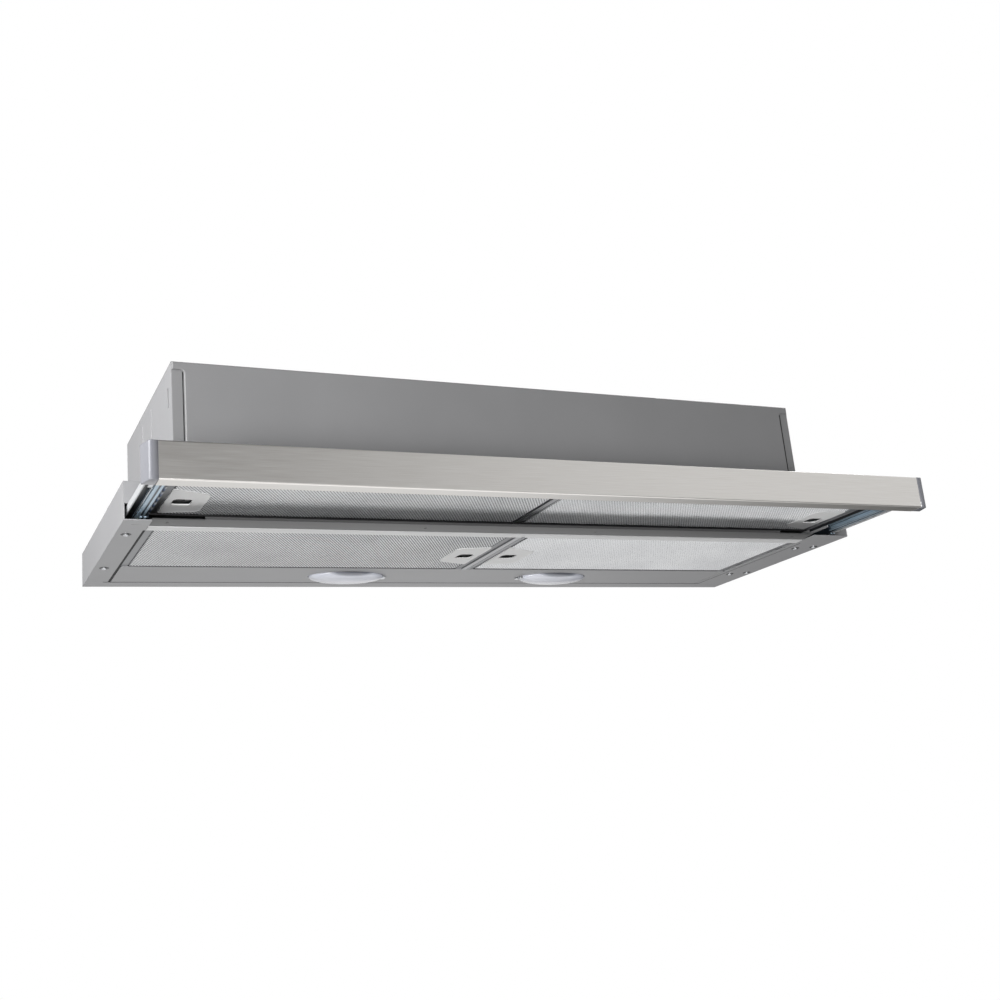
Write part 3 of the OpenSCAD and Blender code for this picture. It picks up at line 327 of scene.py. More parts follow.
def bar(bm, x0, x1, y0, y1, z0, z1, edge=0.0):
    # a box between two corners in mm, its edges rounded by edge mm
    verts = bmesh.ops.create_cube(bm, size=1.0)["verts"]
    bmesh.ops.scale(bm, vec=((x1 - x0) * mm, (y1 - y0) * mm, (z1 - z0) * mm), verts=verts)
    bmesh.ops.translate(bm, vec=((x0 + x1) / 2 * mm, (y0 + y1) / 2 * mm, (z0 + z1) / 2 * mm), verts=verts)
    if edge:
        edges = list({e for v in verts for e in v.link_edges})
        bmesh.ops.bevel(bm, geom=edges, offset=edge * mm, affect="EDGES",
                        segments=2, profile=0.5, material=-1)


def newVerts(result):
    return [g for g in result["geom"] if isinstance(g, bmesh.types.BMVert)]


def faceDown(bm):
    # for open sheets that are seen from below
    bmesh.ops.recalc_face_normals(bm, faces=bm.faces[:])
    if sum(f.normal.z * f.calc_area() for f in bm.faces) > 0:
        bmesh.ops.reverse_faces(bm, faces=bm.faces[:])


def roundedFace(bm, corners, z, roundings):
    # a flat face at height z, with one rounding for each corner
    before = set(bm.faces)
    verts = [bm.verts.new((x, y, z)) for x, y in corners]
    bm.faces.new(verts)
    for vert, rounding in zip(verts, roundings):
        if rounding:
            bmesh.ops.bevel(bm, geom=[vert], offset=rounding, affect="VERTICES",
                            segments=6, profile=0.5, material=-1)
    return [f for f in bm.faces if f not in before]


def cutHole(bm, faces, holeFaces):
    # both sets of faces lie in one plane; what is left is the outer one with the inner one cut out
    outer = {e for f in faces for e in f.edges}
    inner = {e for f in holeFaces for e in f.edges}
    bmesh.ops.delete(bm, geom=faces + holeFaces, context="FACES_ONLY")
    bmesh.ops.triangle_fill(bm, use_beauty=True, use_dissolve=False, edges=list(outer | inner))
    return list(inner)


# latch plates: pressed sheet with a finger hole

latchShape = {
    "meshRounding": 7.0,  # mm, at the mesh side
    "endRounding": 1.5,  # mm, at the latch end
    "slants": (15, 8),  # mm that the long edges run in towards the mesh side
    "rim": 2.2,  # mm wide pressed border
    "press": 0.35,  # mm that the middle stands in from the border
    "edge": 1.1,  # mm that the outer edge is turned up
    "below": 1.2,  # mm under the frame's lip
    "short": 5.0,  # mm that the latch end lies inside the frame's lip
    "holeFrom": 12.0,  # mm from the latch end
    "holeLong": 19.5,
    "holeWide": 20.0,
    "holeBack": 2.5,  # mm behind the plate's middle
    "holeRounding": 4.6,
    "holeLip": 1.3,  # mm that the hole's edge is turned in
}


def plateCorners(box, latchOnLow, margin=0.0):
    # front of the latch end, front and rear of the mesh side, rear of the latch end
    low, high = box
    short = latchShape["short"] * mm
    end, inner = (low[0] + short, high[0]) if latchOnLow else (high[0] - short, low[0])
    front, rear = latchShape["slants"] if latchOnLow else latchShape["slants"][::-1]
    towards = 1 if latchOnLow else -1
    return [(end + towards * margin, low[1] + margin),
            (inner - towards * margin, low[1] + front * mm + margin),
            (inner - towards * margin, high[1] - rear * mm - margin),
            (end + towards * margin, high[1] - margin)]


def latchCover(name, body, box, latchOnLow, z):
    meshRounding, endRounding = latchShape["meshRounding"] * mm, latchShape["endRounding"] * mm
    press = latchShape["press"] * mm
    bm = bmesh.new()
    plate = roundedFace(bm, plateCorners(box, latchOnLow), z,
                        (endRounding, meshRounding, meshRounding, endRounding))
    rim = bmesh.ops.inset_region(bm, faces=plate, thickness=latchShape["rim"] * mm,
                                 use_even_offset=True, use_boundary=True)
    rimFaces = set(rim["faces"])
    outerEdges = [e for e in bm.edges if e.is_boundary]
    middle = [f for f in bm.faces if f not in rimFaces]
    bmesh.ops.translate(bm, vec=(0, 0, press), verts=list({v for f in middle for v in f.verts}))
    low, high = box
    near = latchShape["holeFrom"] * mm
    far = (latchShape["holeFrom"] + latchShape["holeLong"]) * mm
    x0, x1 = (low[0] + near, low[0] + far) if latchOnLow else (high[0] - far, high[0] - near)
    centreY = (low[1] + high[1]) / 2 + latchShape["holeBack"] * mm
    half = latchShape["holeWide"] / 2 * mm
    holeCorners = [(x0, centreY - half), (x1, centreY - half), (x1, centreY + half), (x0, centreY + half)]
    hole = roundedFace(bm, holeCorners, z + press, (latchShape["holeRounding"] * mm,) * 4)
    holeEdges = cutHole(bm, middle, hole)
    for edges, rise in ((holeEdges, latchShape["holeLip"]), (outerEdges, latchShape["edge"])):
        turned = bmesh.ops.extrude_edge_only(bm, edges=edges)
        bmesh.ops.translate(bm, vec=(0, 0, rise * mm), verts=newVerts(turned))
    faceDown(bm)
    return addPiece(bm, name, latchCoat, body)


# expanded mesh of the filters

meshWeave = {
    "cellWide": 3.4,  # mm along X; the real cell is 2.9 x 4.8, drawn coarser since it is too fine to show
    "cellDeep": 5.6,  # mm along Y
    "strand": {  # share of a half cell that is metal
        "visor_left": 0.46, "visor_right": 0.36, "fixed_left": 0.4, "fixed_right": 0.47,
    },
    "lean": {  # mm that a strand's edges rise and fall, along X and Y
        "visor_left": (-0.24, 0.12), "visor_right": (-0.05, 0.24),
        "fixed_left": (-0.24, 0.08), "fixed_right": (0.14, 0.14),
    },
    "ends": {  # mm of frame left bare at its left and right ends
        "visor_left": (7, 3), "visor_right": (3, 7), "fixed_left": (10, 8), "fixed_right": (6, 10),
    },
    "bareFront": 0.4,  # mm of frame left bare at its front and rear
    "below": 0.62,  # mm under the frame's lip, since the mesh is wrapped round the frame
    "overPlate": 2.6,  # mm that the mesh runs in above the latch plate
    "pastPlate": 0.3,  # share of the plate's length that is cleared beyond its latch end
    "endRoom": 0.25,  # share of a cell, so that a cut falls between two rows of corners
}
backLayer = {
    "below": 0.16,  # mm under the frame's lip
    "overPlate": 3,  # mm that the layer runs in above the latch plate
    "edge": 1,  # mm of sheet beside the opening for the plate
    "thick": 0.1,  # mm
}
# painted shadow: a black bar in the gap behind the fixed filters' mesh
rearShadowGap = {"deep": 1.3, "past": 0.2, "below": 0.75, "into": 0.2}  # mm; dark line behind the fixed filters


def expandedFoil(name, dark, light, roughness, metallic):
    # slit and stretched aluminium foil: pale, and dulled by its oxide
    mat, tree, shader, coords = startMaterial(name, roughness, metallic)
    cloudsPerMetre = 9
    cloud = addNode(tree, "ShaderNodeTexNoise", {},
                    {"Vector": (coords, "Object"), "Scale": cloudsPerMetre, "Detail": 3.0})
    mottle(tree, shader, cloud, dark, light)
    return mat


meshMetal = expandedFoil("expandedAluminiumMesh", "#D3D4D6", "#E4E5E6", 0.5, 0.6)


def meshCell(strand, lean):
    # two diamonds half a cell apart, each with a hole; the strands are twisted as the foil is stretched
    wide, deep = meshWeave["cellWide"] * mm, meshWeave["cellDeep"] * mm
    bm = bmesh.new()
    for dx, dy in ((0, 0), (wide / 2, deep / 2)):
        ring = bmesh.ops.create_circle(bm, cap_ends=True, radius=0.5, segments=4)["verts"]
        bmesh.ops.scale(bm, vec=(wide, deep, 1), verts=ring)
        bmesh.ops.translate(bm, vec=(dx, dy, 0), verts=ring)
    halfCell = wide * deep / 4 / math.hypot(wide / 2, deep / 2)  # from a diamond's middle to its side
    strands = bmesh.ops.inset_region(bm, faces=bm.faces[:], thickness=strand * halfCell,
                                     use_even_offset=True, use_boundary=True)
    strandFaces = set(strands["faces"])
    holes = [f for f in bm.faces if f not in strandFaces]
    leanX, leanY = lean
    for f in holes:
        centre = f.calc_center_median()
        reachX = max(abs(v.co.x - centre.x) for v in f.verts)
        reachY = max(abs(v.co.y - centre.y) for v in f.verts)
        for v in f.verts:
            v.co.z += mm * (leanX * (v.co.x - centre.x) / reachX + leanY * (v.co.y - centre.y) / reachY)
    bmesh.ops.delete(bm, geom=holes, context="FACES_ONLY")
    return bm


def repeatAlong(bm, count, step):
    # doubles the mesh until count copies stand in a row; the last time it takes only what is missing
    done = 1
    while done < count:
        batch = min(done, count - done)
        block = bm.verts[:] + bm.edges[:] + bm.faces[:]
        if batch < done:
            limit = step * batch - step * meshWeave["endRoom"]
            keep = [v for v in bm.verts if v.co.dot(step) < limit.dot(step)]
            chosen = set(keep)
            block = keep + [e for e in bm.edges if all(v in chosen for v in e.verts)]
            block += [f for f in bm.faces if all(v in chosen for v in f.verts)]
        copied = bmesh.ops.duplicate(bm, geom=block)
        bmesh.ops.translate(bm, vec=step * done, verts=newVerts(copied))
        done += batch


def weaveMesh(name, body, low, high, corners, lean, strand):
    # fills the rectangle from low to high with cells and clears them inside the plate's corners
    wide, deep = meshWeave["cellWide"] * mm, meshWeave["cellDeep"] * mm
    bm = meshCell(strand, lean)
    columns = int((high[0] - low[0]) / wide - meshWeave["endRoom"])
    rows = int((high[1] - low[1]) / deep - meshWeave["endRoom"])
    repeatAlong(bm, columns, Vector((wide, 0, 0)))
    repeatAlong(bm, rows, Vector((0, deep, 0)))
    spareX = (high[0] - low[0] - (columns + 0.5) * wide) / 2
    spareY = (high[1] - low[1] - (rows + 0.5) * deep) / 2
    bmesh.ops.translate(bm, vec=(low[0] + wide / 2 + spareX, low[1] + deep / 2 + spareY, low[2]),
                        verts=bm.verts[:])
    (endX, frontEnd), (innerX, frontInner) = corners[:2]
    rearInner, rearEnd = corners[2][1], corners[3][1]

    def abovePlate(v):
        along = (v.co.x - endX) / (innerX - endX)
        front = frontEnd + along * (frontInner - frontEnd)
        rear = rearEnd + along * (rearInner - rearEnd)
        return -meshWeave["pastPlate"] < along < 1 and front < v.co.y < rear

    bmesh.ops.delete(bm, geom=[v for v in bm.verts if abovePlate(v)], context="VERTS")
    return addPiece(bm, name, meshMetal, body)


def backSheet(name, body, low, high, corners):
    # one sheet for the mesh layers behind the front one, darkened as painted shade
    square = (0, 0, 0, 0)
    sheetCorners = [(low[0], low[1]), (high[0], low[1]), (high[0], high[1]), (low[0], high[1])]
    bm = bmesh.new()
    sheet = roundedFace(bm, sheetCorners, low[2], square)
    opening = roundedFace(bm, corners, low[2], square)
    cutHole(bm, sheet, opening)
    faceDown(bm)
    bmesh.ops.solidify(bm, geom=bm.faces[:], thickness=backLayer["thick"] * mm)
    addPiece(bm, name, shadedBackMetal, body)


def dressFilter(kind, side):
    body = "visor" if kind == "visor" else f"fixed_filter_{side}"
    low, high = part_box(f"{kind}_filter_frame_{side}")
    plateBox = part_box(f"{kind}_latch_plate_{side}")
    latchOnLow = (kind == "visor") == (side == "left")  # the visor's latches stand outside, the rest inside
    bareLow, bareHigh = meshWeave["ends"][f"{kind}_{side}"]
    x0, x1 = low[0] + bareLow * mm, high[0] - bareHigh * mm
    y0, y1 = low[1] + meshWeave["bareFront"] * mm, high[1] - meshWeave["bareFront"] * mm
    meshZ, backZ = low[2] - meshWeave["below"] * mm, low[2] - backLayer["below"] * mm
    woven = weaveMesh(f"{kind}_mesh_face_{side}", body, (x0, y0, meshZ), (x1, y1),
                      plateCorners(plateBox, latchOnLow, meshWeave["overPlate"] * mm),
                      meshWeave["lean"][f"{kind}_{side}"], meshWeave["strand"][f"{kind}_{side}"])
    edge = backLayer["edge"] * mm
    opening = [(min(max(x, x0 + edge), x1 - edge), y)
               for x, y in plateCorners(plateBox, latchOnLow, backLayer["overPlate"] * mm)]
    backSheet(f"{kind}_mesh_back_{side}", body, (x0, y0, backZ), (x1, y1), opening)
    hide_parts(f"{kind}_filter_mesh_{side}")
    plate = latchCover(f"{kind}_latch_cover_{side}", body, plateBox, latchOnLow,
                       low[2] - latchShape["below"] * mm)
    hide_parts(f"{kind}_latch_plate_{side}")
    # a black bar along the mesh's rear edge, as painted shadow in the gap
    if kind == "fixed":
        bm = bmesh.new()
        bar(bm, x0 / mm, x1 / mm, y1 / mm - rearShadowGap["deep"], y1 / mm + rearShadowGap["past"],
            low[2] / mm - rearShadowGap["below"], low[2] / mm + rearShadowGap["into"])
        addPiece(bm, f"fixed_rear_gap_{side}", shadowGapBlack, body)


for kind in ("visor", "fixed"):
    for side in sides:
        dressFilter(kind, side)
print("filter mesh woven, latch plates pressed")


# end caps

capShape = {
    "flare": 5.4,  # mm that the cap flares outwards behind the strip
    "rounding": 2.2,  # mm, outer front corner
    "rearRounding": 1.5,  # mm
    "edge": 0.8,  # mm
}


def capCover(side, way):
    low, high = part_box(f"end_cap_{side}")
    inner, outer = (high[0], low[0]) if way < 0 else (low[0], high[0])
    flared = outer + way * capShape["flare"] * mm
    bm = bmesh.new()
    foot = roundedFace(bm, [(inner, low[1]), (outer, low[1]), (flared, high[1]), (inner, high[1])], low[2],
                       (0, capShape["rounding"] * mm, capShape["rearRounding"] * mm, 0))
    grown = bmesh.ops.extrude_face_region(bm, geom=foot)
    bmesh.ops.translate(bm, vec=(0, 0, high[2] - low[2]), verts=newVerts(grown))
    bmesh.ops.recalc_face_normals(bm, faces=bm.faces[:])
    levelEdges = [e for e in bm.edges if abs(e.verts[0].co.z - e.verts[1].co.z) < 1e-6]
    bmesh.ops.bevel(bm, geom=levelEdges, offset=capShape["edge"] * mm, affect="EDGES",
                    segments=3, profile=0.5, material=-1)
    cap = addPiece(bm, f"cap_cover_{side}", capPlastic, "visor", smooth=True)
    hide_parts(f"end_cap_{side}")


for side, way in sides.items():
    capCover(side, way)
print("end caps made")


# visor arms: a blade outside, a web along its top and a rail along its foot

armShape = {
    "blade": 1.5,  # mm thick
    "bladeEdge": 0.3,
    "web": 1.6,  # mm thick
    "rail": (434.6, 440.0),  # mm from the middle
    "railLong": 46.0,
    "railHigh": (1.2, 2.6),  # mm above the arm's underside
    "railEdge": 0.4,
    "lip": 1.2,  # mm of the rail's width that runs on along the whole arm
    "lipHigh": (1.2, 2.4),
    "lipEdge": 0.3,
}


def armCovers(side, way):
    (x0, y0, z0), (x1, y1, z1) = [[value / mm for value in corner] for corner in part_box(f"visor_arm_{side}")]
    outer, inner = (x0, x1) if way < 0 else (x1, x0)
    bladeInside = outer - way * armShape["blade"]
    bm = bmesh.new()
    bar(bm, *sorted((outer, bladeInside)), y0, y1, z0, z1, armShape["bladeEdge"])
    blade = addPiece(bm, f"arm_blade_{side}", armCoat, "visor")
    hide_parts(f"visor_arm_{side}")
    # the web is black as painted shade, for the dark inside of the arm's channel
    bm = bmesh.new()
    bar(bm, *sorted((bladeInside, inner)), y0, y1, z1 - armShape["web"], z1)
    addPiece(bm, f"arm_shaded_web_{side}", blackPlastic, "visor")
    bm = bmesh.new()
    rail = [way * at for at in armShape["rail"]]
    railHigh = [z0 + rise for rise in armShape["railHigh"]]
    lipHigh = [z0 + rise for rise in armShape["lipHigh"]]
    bar(bm, *sorted(rail), y0, y0 + armShape["railLong"], *railHigh, armShape["railEdge"])
    bar(bm, *sorted((rail[0], rail[0] + way * armShape["lip"])), y0, y1, *lipHigh, armShape["lipEdge"])
    addPiece(bm, f"arm_rail_{side}", brightSteel, "visor")


for side, way in sides.items():
    armCovers(side, way)
print("arms made")


# front panel's raised border, and the folds beside its two ends

panelShape = {
    "proud": 2.0,  # mm thick
    "sunk": 0.2,  # mm that its back stands inside the sheet
    "inset": 0.4,  # mm from the sheet's ends
    "topInset": 0.6,
    "footInset": 0.3,
    "rounding": 1.6,  # mm, round the border
    "fold": 12.6,  # mm that the panel is narrower at each end, below its head
    "head": 147.6,  # mm, underside of the wide head
    "corner": 4.0,
}
foldShape = {
    "fold": (384.9, 395.8),  # mm from the middle
    "foldFront": -283.8,
    "foldTop": 148,
    # the gap is a black bar of painted shadow
    "gap": (384.1, 385.0),
    "gapFront": -283.9,
    "gapTop": 146,
    "rear": -283.2,
    "foot": 20.4,
}


def frontPanel():
    low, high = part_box("housing_wrap")
    left, right = low[0] + panelShape["inset"] * mm, high[0] - panelShape["inset"] * mm
    foldLeft, foldRight = left + panelShape["fold"] * mm, right - panelShape["fold"] * mm
    foot, top = low[2] + panelShape["footInset"] * mm, high[2] - panelShape["topInset"] * mm
    head = panelShape["head"] * mm
    corner = panelShape["corner"] * mm
    corners = [(left, top), (left, head), (foldLeft, head), (foldLeft, foot),
               (foldRight, foot), (foldRight, head), (right, head), (right, top)]
    bm = bmesh.new()  # drawn lying down, then turned up
    sheet = roundedFace(bm, corners, 0, (0, 0, corner, 0, 0, corner, 0, 0))
    front = newVerts(bmesh.ops.extrude_face_region(bm, geom=sheet))
    bmesh.ops.translate(bm, vec=(0, 0, panelShape["proud"] * mm), verts=front)
    bmesh.ops.recalc_face_normals(bm, faces=bm.faces[:])
    frontSet = set(front)
    borders = [e for e in bm.edges if all(v in frontSet for v in e.verts)
               and len({round(f.normal.z) for f in e.link_faces}) > 1]
    bmesh.ops.bevel(bm, geom=borders, offset=panelShape["rounding"] * mm, affect="EDGES",
                    segments=4, profile=0.5, material=-1)
    bmesh.ops.rotate(bm, cent=(0, 0, 0), matrix=Matrix.Rotation(math.radians(90), 3, "X"), verts=bm.verts[:])
    bmesh.ops.translate(bm, vec=(0, low[1] + panelShape["sunk"] * mm, 0), verts=bm.verts[:])
    addPiece(bm, "housing_front_panel", shadedWrapCoat, "chassis")


def foldPair(name, part, material):
    bm = bmesh.new()
    for way in sides.values():
        bar(bm, *sorted(way * at for at in foldShape[part]), foldShape[f"{part}Front"], foldShape["rear"],
            foldShape["foot"], foldShape[f"{part}Top"])
    addPiece(bm, name, material, "chassis")


frontPanel()
foldPair("housing_fold", "fold", shadedWrapCoat)
# a black bar beside each fold, as painted shadow next to the raised border
foldPair("housing_fold_shadow_line", "gap", shadowGapBlack)
print("front panel made")


# black bars as painted shadow in the gaps round the lamp strip, and black walls as painted shade between the
# tray and the slides

gapShape = {
    "left": -424.0,  # mm, outer side of the left gap
    "leftWide": 2.4,
    "right": 403.9,
    "rightWide": 0.9,
    "rearLeft": -429.3,  # mm, left end of the rear gap
    "rear": -24.4,
    "rearWide": 1.6,
    "front": -262,
    "proud": 0.12,  # mm under the frame
    "into": 1,  # mm inside it
}
shadowWallShape = {
    "wall": (421.7, 422.4),  # mm from the middle
    "flange": (419.7, 422.4),
    "along": (-424.3, -262),  # mm, front and rear ends
    "wallHigh": {"left": (-1.9, 11), "right": (-4.6, 11)},
    "flangeHigh": {"left": (-1.9, -1.2), "right": (9.4, 10.2)},
}


# black bars stand for the shadow in the gaps round the lamp strip
def stripShadowGaps():
    left, right, front, rear = (gapShape[key] for key in ("left", "right", "front", "rear"))
    heights = (under - gapShape["proud"], under + gapShape["into"])
    bm = bmesh.new()
    bar(bm, left, left + gapShape["leftWide"], front, rear, *heights)
    bar(bm, right - gapShape["rightWide"], right, front, rear, *heights)
    bar(bm, gapShape["rearLeft"], right, rear - gapShape["rearWide"], rear, *heights)
    addPiece(bm, "strip_edge_shadow_gap", shadowGapBlack, "chassis")


# black walls stand for the shade between the tray and the slides
def slideShadowWall(side, way):
    bm = bmesh.new()
    for part in ("wall", "flange"):
        across = sorted(way * at for at in shadowWallShape[part])
        bar(bm, *across, *shadowWallShape["along"], *shadowWallShape[f"{part}High"][side])
    addPiece(bm, f"slide_shadow_wall_{side}", blackPlastic, "visor")


stripShadowGaps()
for side, way in sides.items():
    slideShadowWall(side, way)
print("shadow_gaps and shadow_walls set")


# screws with a cross recess, and black rings round them as painted shade

screwShape = {
    "radius": 2.9,
    "height": 1.6,
    "segments": 20,
    "dome": ((1.0, 0.45), (0.9, 0.8), (0.64, 1.0)),  # shares of the radius and the height, from the rim up
    "grid": 0.42,  # share of the radius: half the square that the cross is cut from
    "gridCells": 5,
    "recess": 0.9,  # mm deep cross
    "under": [(-438, -245), (-438, -96), (438, -245), (438, -96), (415.5, -236), (415.5, -87)],
    "collar": [(-64, -194), (-64, -66), (64, -194), (64, -66)],
    "collarHeight": 159,
}
screwShadowShape = {"foot": 5.4, "top": 5.0, "high": 0.3, "segments": 24}  # radii and height in mm


def screwHead(bm, x, y, z, up):
    radius, height = screwShape["radius"] * mm, screwShape["height"] * mm
    ring = bmesh.ops.create_circle(bm, radius=radius, segments=screwShape["segments"])["verts"]
    edges = list({e for v in ring for e in v.link_edges})
    parts = list(ring)
    for width, rise in screwShape["dome"]:
        grown = bmesh.ops.extrude_edge_only(bm, edges=edges)
        verts = newVerts(grown)
        edges = [g for g in grown["geom"]
                 if isinstance(g, bmesh.types.BMEdge) and all(v in verts for v in g.verts)]
        for v in verts:
            v.co.z = rise * height
            v.co.xy = v.co.xy.normalized() * width * radius
        parts += verts
    cells, half = screwShape["gridCells"], screwShape["grid"] * radius
    grid = bmesh.ops.create_grid(bm, x_segments=cells, y_segments=cells, size=half)["verts"]
    bmesh.ops.translate(bm, vec=(0, 0, height), verts=grid)
    faces = list({f for v in grid for f in v.link_faces})
    border = [e for e in {e for v in grid for e in v.link_edges} if e.is_boundary]
    bmesh.ops.bridge_loops(bm, edges=edges + border)
    cross = [f for f in faces
             if min(abs(f.calc_center_median().x), abs(f.calc_center_median().y)) < half / cells]
    sunkVerts = newVerts(bmesh.ops.extrude_face_region(bm, geom=cross))
    bmesh.ops.translate(bm, vec=(0, 0, -screwShape["recess"] * mm), verts=sunkVerts)
    bmesh.ops.delete(bm, geom=[f for f in cross if f.is_valid], context="FACES_ONLY")
    parts += grid + sunkVerts
    if not up:
        bmesh.ops.scale(bm, vec=(1, 1, -1), verts=parts)
    bmesh.ops.translate(bm, vec=(x * mm, y * mm, z * mm), verts=parts)


def screwShadowRings():
    bm = bmesh.new()
    for x, y in screwShape["under"]:
        seat = bmesh.ops.create_cone(bm, cap_ends=True, segments=screwShadowShape["segments"],
                                     radius1=screwShadowShape["foot"] * mm, radius2=screwShadowShape["top"] * mm,
                                     depth=screwShadowShape["high"] * mm)["verts"]
        bmesh.ops.translate(bm, vec=(x * mm, y * mm, frameFloor), verts=seat)
    addPiece(bm, "screw_shadow_rings", blackPlastic, "chassis")


def screwHeads():
    bm = bmesh.new()
    for x, y in screwShape["under"]:
        screwHead(bm, x, y, under - screwShadowShape["high"] / 2, False)
    for x, y in screwShape["collar"]:
        screwHead(bm, x, y, screwShape["collarHeight"], True)
    bmesh.ops.recalc_face_normals(bm, faces=bm.faces[:])
    screws = addPiece(bm, "screw_heads", brightSteel, "chassis")
    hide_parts("chassis_screws")


screwShadowRings()
screwHeads()
print("screws set")


# lamp covers: a bowl, a black ring round it as painted shadow and a metal tab

lensShape = {
    "segments": 64,
    "rings": 14,
    "fromMiddle": 144,  # mm
    "length": 93,
    "width": 47,
    "depth": 7.4,  # mm that the bowl bulges down
    "wall": 1.4,
    "rim": 1.2,  # mm that the bowl's edge rises into the strip
    "flange": 2.4,
    "ring": (0.4, 4.4),  # mm more than the bowl's length and width, inside and outside
    "ringBelow": 0.1,
}
tabShape = {
    "from": 47.5,  # mm from the bowl's middle, towards the hood's middle
    "clips": [(0, 4.6, 1, 8, 2.2), (-1.5, 2.4, -7, -3.5, 3.4)],  # mm: near, far, front, rear and foot
    "top": 0.3,  # mm under the frame, as the foot is
    "edge": 0.5,
}


def lensMaterial():
    # frosted polycarbonate over a bright bowl: silvery, with a soft gloss; the bands across it are painted
    # reflection and shade, dark at the front edge
    mat, tree, shader, coords = startMaterial("frostedPolycarbonate", 0.22, IOR=1.58)
    cloudsPerMetre = 30
    cloud = addNode(tree, "ShaderNodeTexNoise", {},
                    {"Vector": (coords, "Object"), "Scale": cloudsPerMetre, "Detail": 1.0})
    mottle(tree, shader, cloud, "#E6E8EE", "#F2F3F8")
    lensReflectionBands = [(-88, "#3C3E44"), (-84.5, "#85878D"), (-82, "#D5D6DB"),
                 (-70, "#E4E5EA"), (-56, "#B4B6BC"), (-38, "#EEEFF2")]
    bandedCoat(mat, "Y", lensReflectionBands)
    shader.inputs["Coat Weight"].default_value = 0.6
    shader.inputs["Coat Roughness"].default_value = 0.06
    frost = 0.8  # mm from dimple to dimple
    grain = addNode(tree, "ShaderNodeTexNoise", {},
                    {"Vector": (coords, "Object"), "Scale": 1 / (frost * mm), "Detail": 2.0})
    addRelief(tree, shader, grain, strength=0.2, depth=0.04)
    return mat


lensPlastic = lensMaterial()


def lampBowl(side, centre, length, width):
    bm = bmesh.new()
    bmesh.ops.create_uvsphere(bm, u_segments=lensShape["segments"], v_segments=2 * lensShape["rings"],
                              radius=0.5)
    upper = [v for v in bm.verts if v.co.z > 0.001]  # all that lies above the sphere's own middle
    bmesh.ops.delete(bm, geom=upper, context="VERTS")
    bmesh.ops.scale(bm, vec=(length, width, 2 * lensShape["depth"] * mm), verts=bm.verts[:])
    grown = bmesh.ops.extrude_edge_only(bm, edges=[e for e in bm.edges if e.is_boundary])
    bmesh.ops.translate(bm, vec=(0, 0, lensShape["rim"] * mm), verts=newVerts(grown))
    rim = [g for g in grown["geom"] if isinstance(g, bmesh.types.BMEdge) and g.is_boundary]
    flange = lensShape["flange"] * mm
    for v in newVerts(bmesh.ops.extrude_edge_only(bm, edges=rim)):
        v.co.x *= (length / 2 + flange) / (length / 2)
        v.co.y *= (width / 2 + flange) / (width / 2)
    bmesh.ops.recalc_face_normals(bm, faces=bm.faces[:])
    bmesh.ops.translate(bm, vec=centre, verts=bm.verts[:])
    cover = addPiece(bm, f"lamp_cover_{side}", lensPlastic, "chassis", smooth=True)
    wall = cover.modifiers.new("wall", "SOLIDIFY")
    wall.thickness = lensShape["wall"] * mm
    wall.offset = -1
    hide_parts(f"lamp_lens_{side}")


# a black ring round the bowl, as painted shadow in the gap at its edge
def lampShadowRing(side, centre, length, width):
    inside, outside = (more * mm for more in lensShape["ring"])
    bm = bmesh.new()
    ring = bmesh.ops.create_circle(bm, radius=0.5, segments=lensShape["segments"])["verts"]
    bmesh.ops.scale(bm, vec=(length + inside, width + inside, 1), verts=ring)
    grown = bmesh.ops.extrude_edge_only(bm, edges=bm.edges[:])
    growth = ((length + outside) / (length + inside), (width + outside) / (width + inside), 1)
    bmesh.ops.scale(bm, vec=growth, verts=newVerts(grown))
    bmesh.ops.translate(bm, vec=(centre[0], centre[1], frameFloor - lensShape["ringBelow"] * mm),
                        verts=bm.verts[:])
    faceDown(bm)
    addPiece(bm, f"lamp_shadow_gap_{side}", blackPlastic, "chassis")


def lampTab(side, way, centre):
    middleY = centre[1] / mm
    end = centre[0] / mm - way * tabShape["from"]
    bm = bmesh.new()
    for near, far, front, rear, foot in tabShape["clips"]:
        bar(bm, *sorted((end - way * near, end - way * far)), middleY + front, middleY + rear,
            under - foot, under - tabShape["top"], tabShape["edge"])
    addPiece(bm, f"lamp_tab_{side}", brightSteel, "chassis")


for side, way in sides.items():
    low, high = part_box(f"lamp_lens_{side}")
    centre = (way * lensShape["fromMiddle"] * mm, (low[1] + high[1]) / 2, frameFloor)
    length, width = lensShape["length"] * mm, lensShape["width"] * mm
    lampBowl(side, centre, length, width)
    lampShadowRing(side, centre, length, width)
    lampTab(side, way, centre)
print("lamp covers made")


# floor

floorSettings = {
    "middle": (0, -0.6, -2.6),  # metres; the hood hangs at head height
    "size": 12,
    "colour": "#E9E9E7",
    "white": 0.9,  # share of the floor that shows as the white background
    "gloss": [(-1.3, 1.0), (1.95, 1.0), (3.5, 0.1), (6, 0.05)],  # what metal sees of it, by metres along X
}


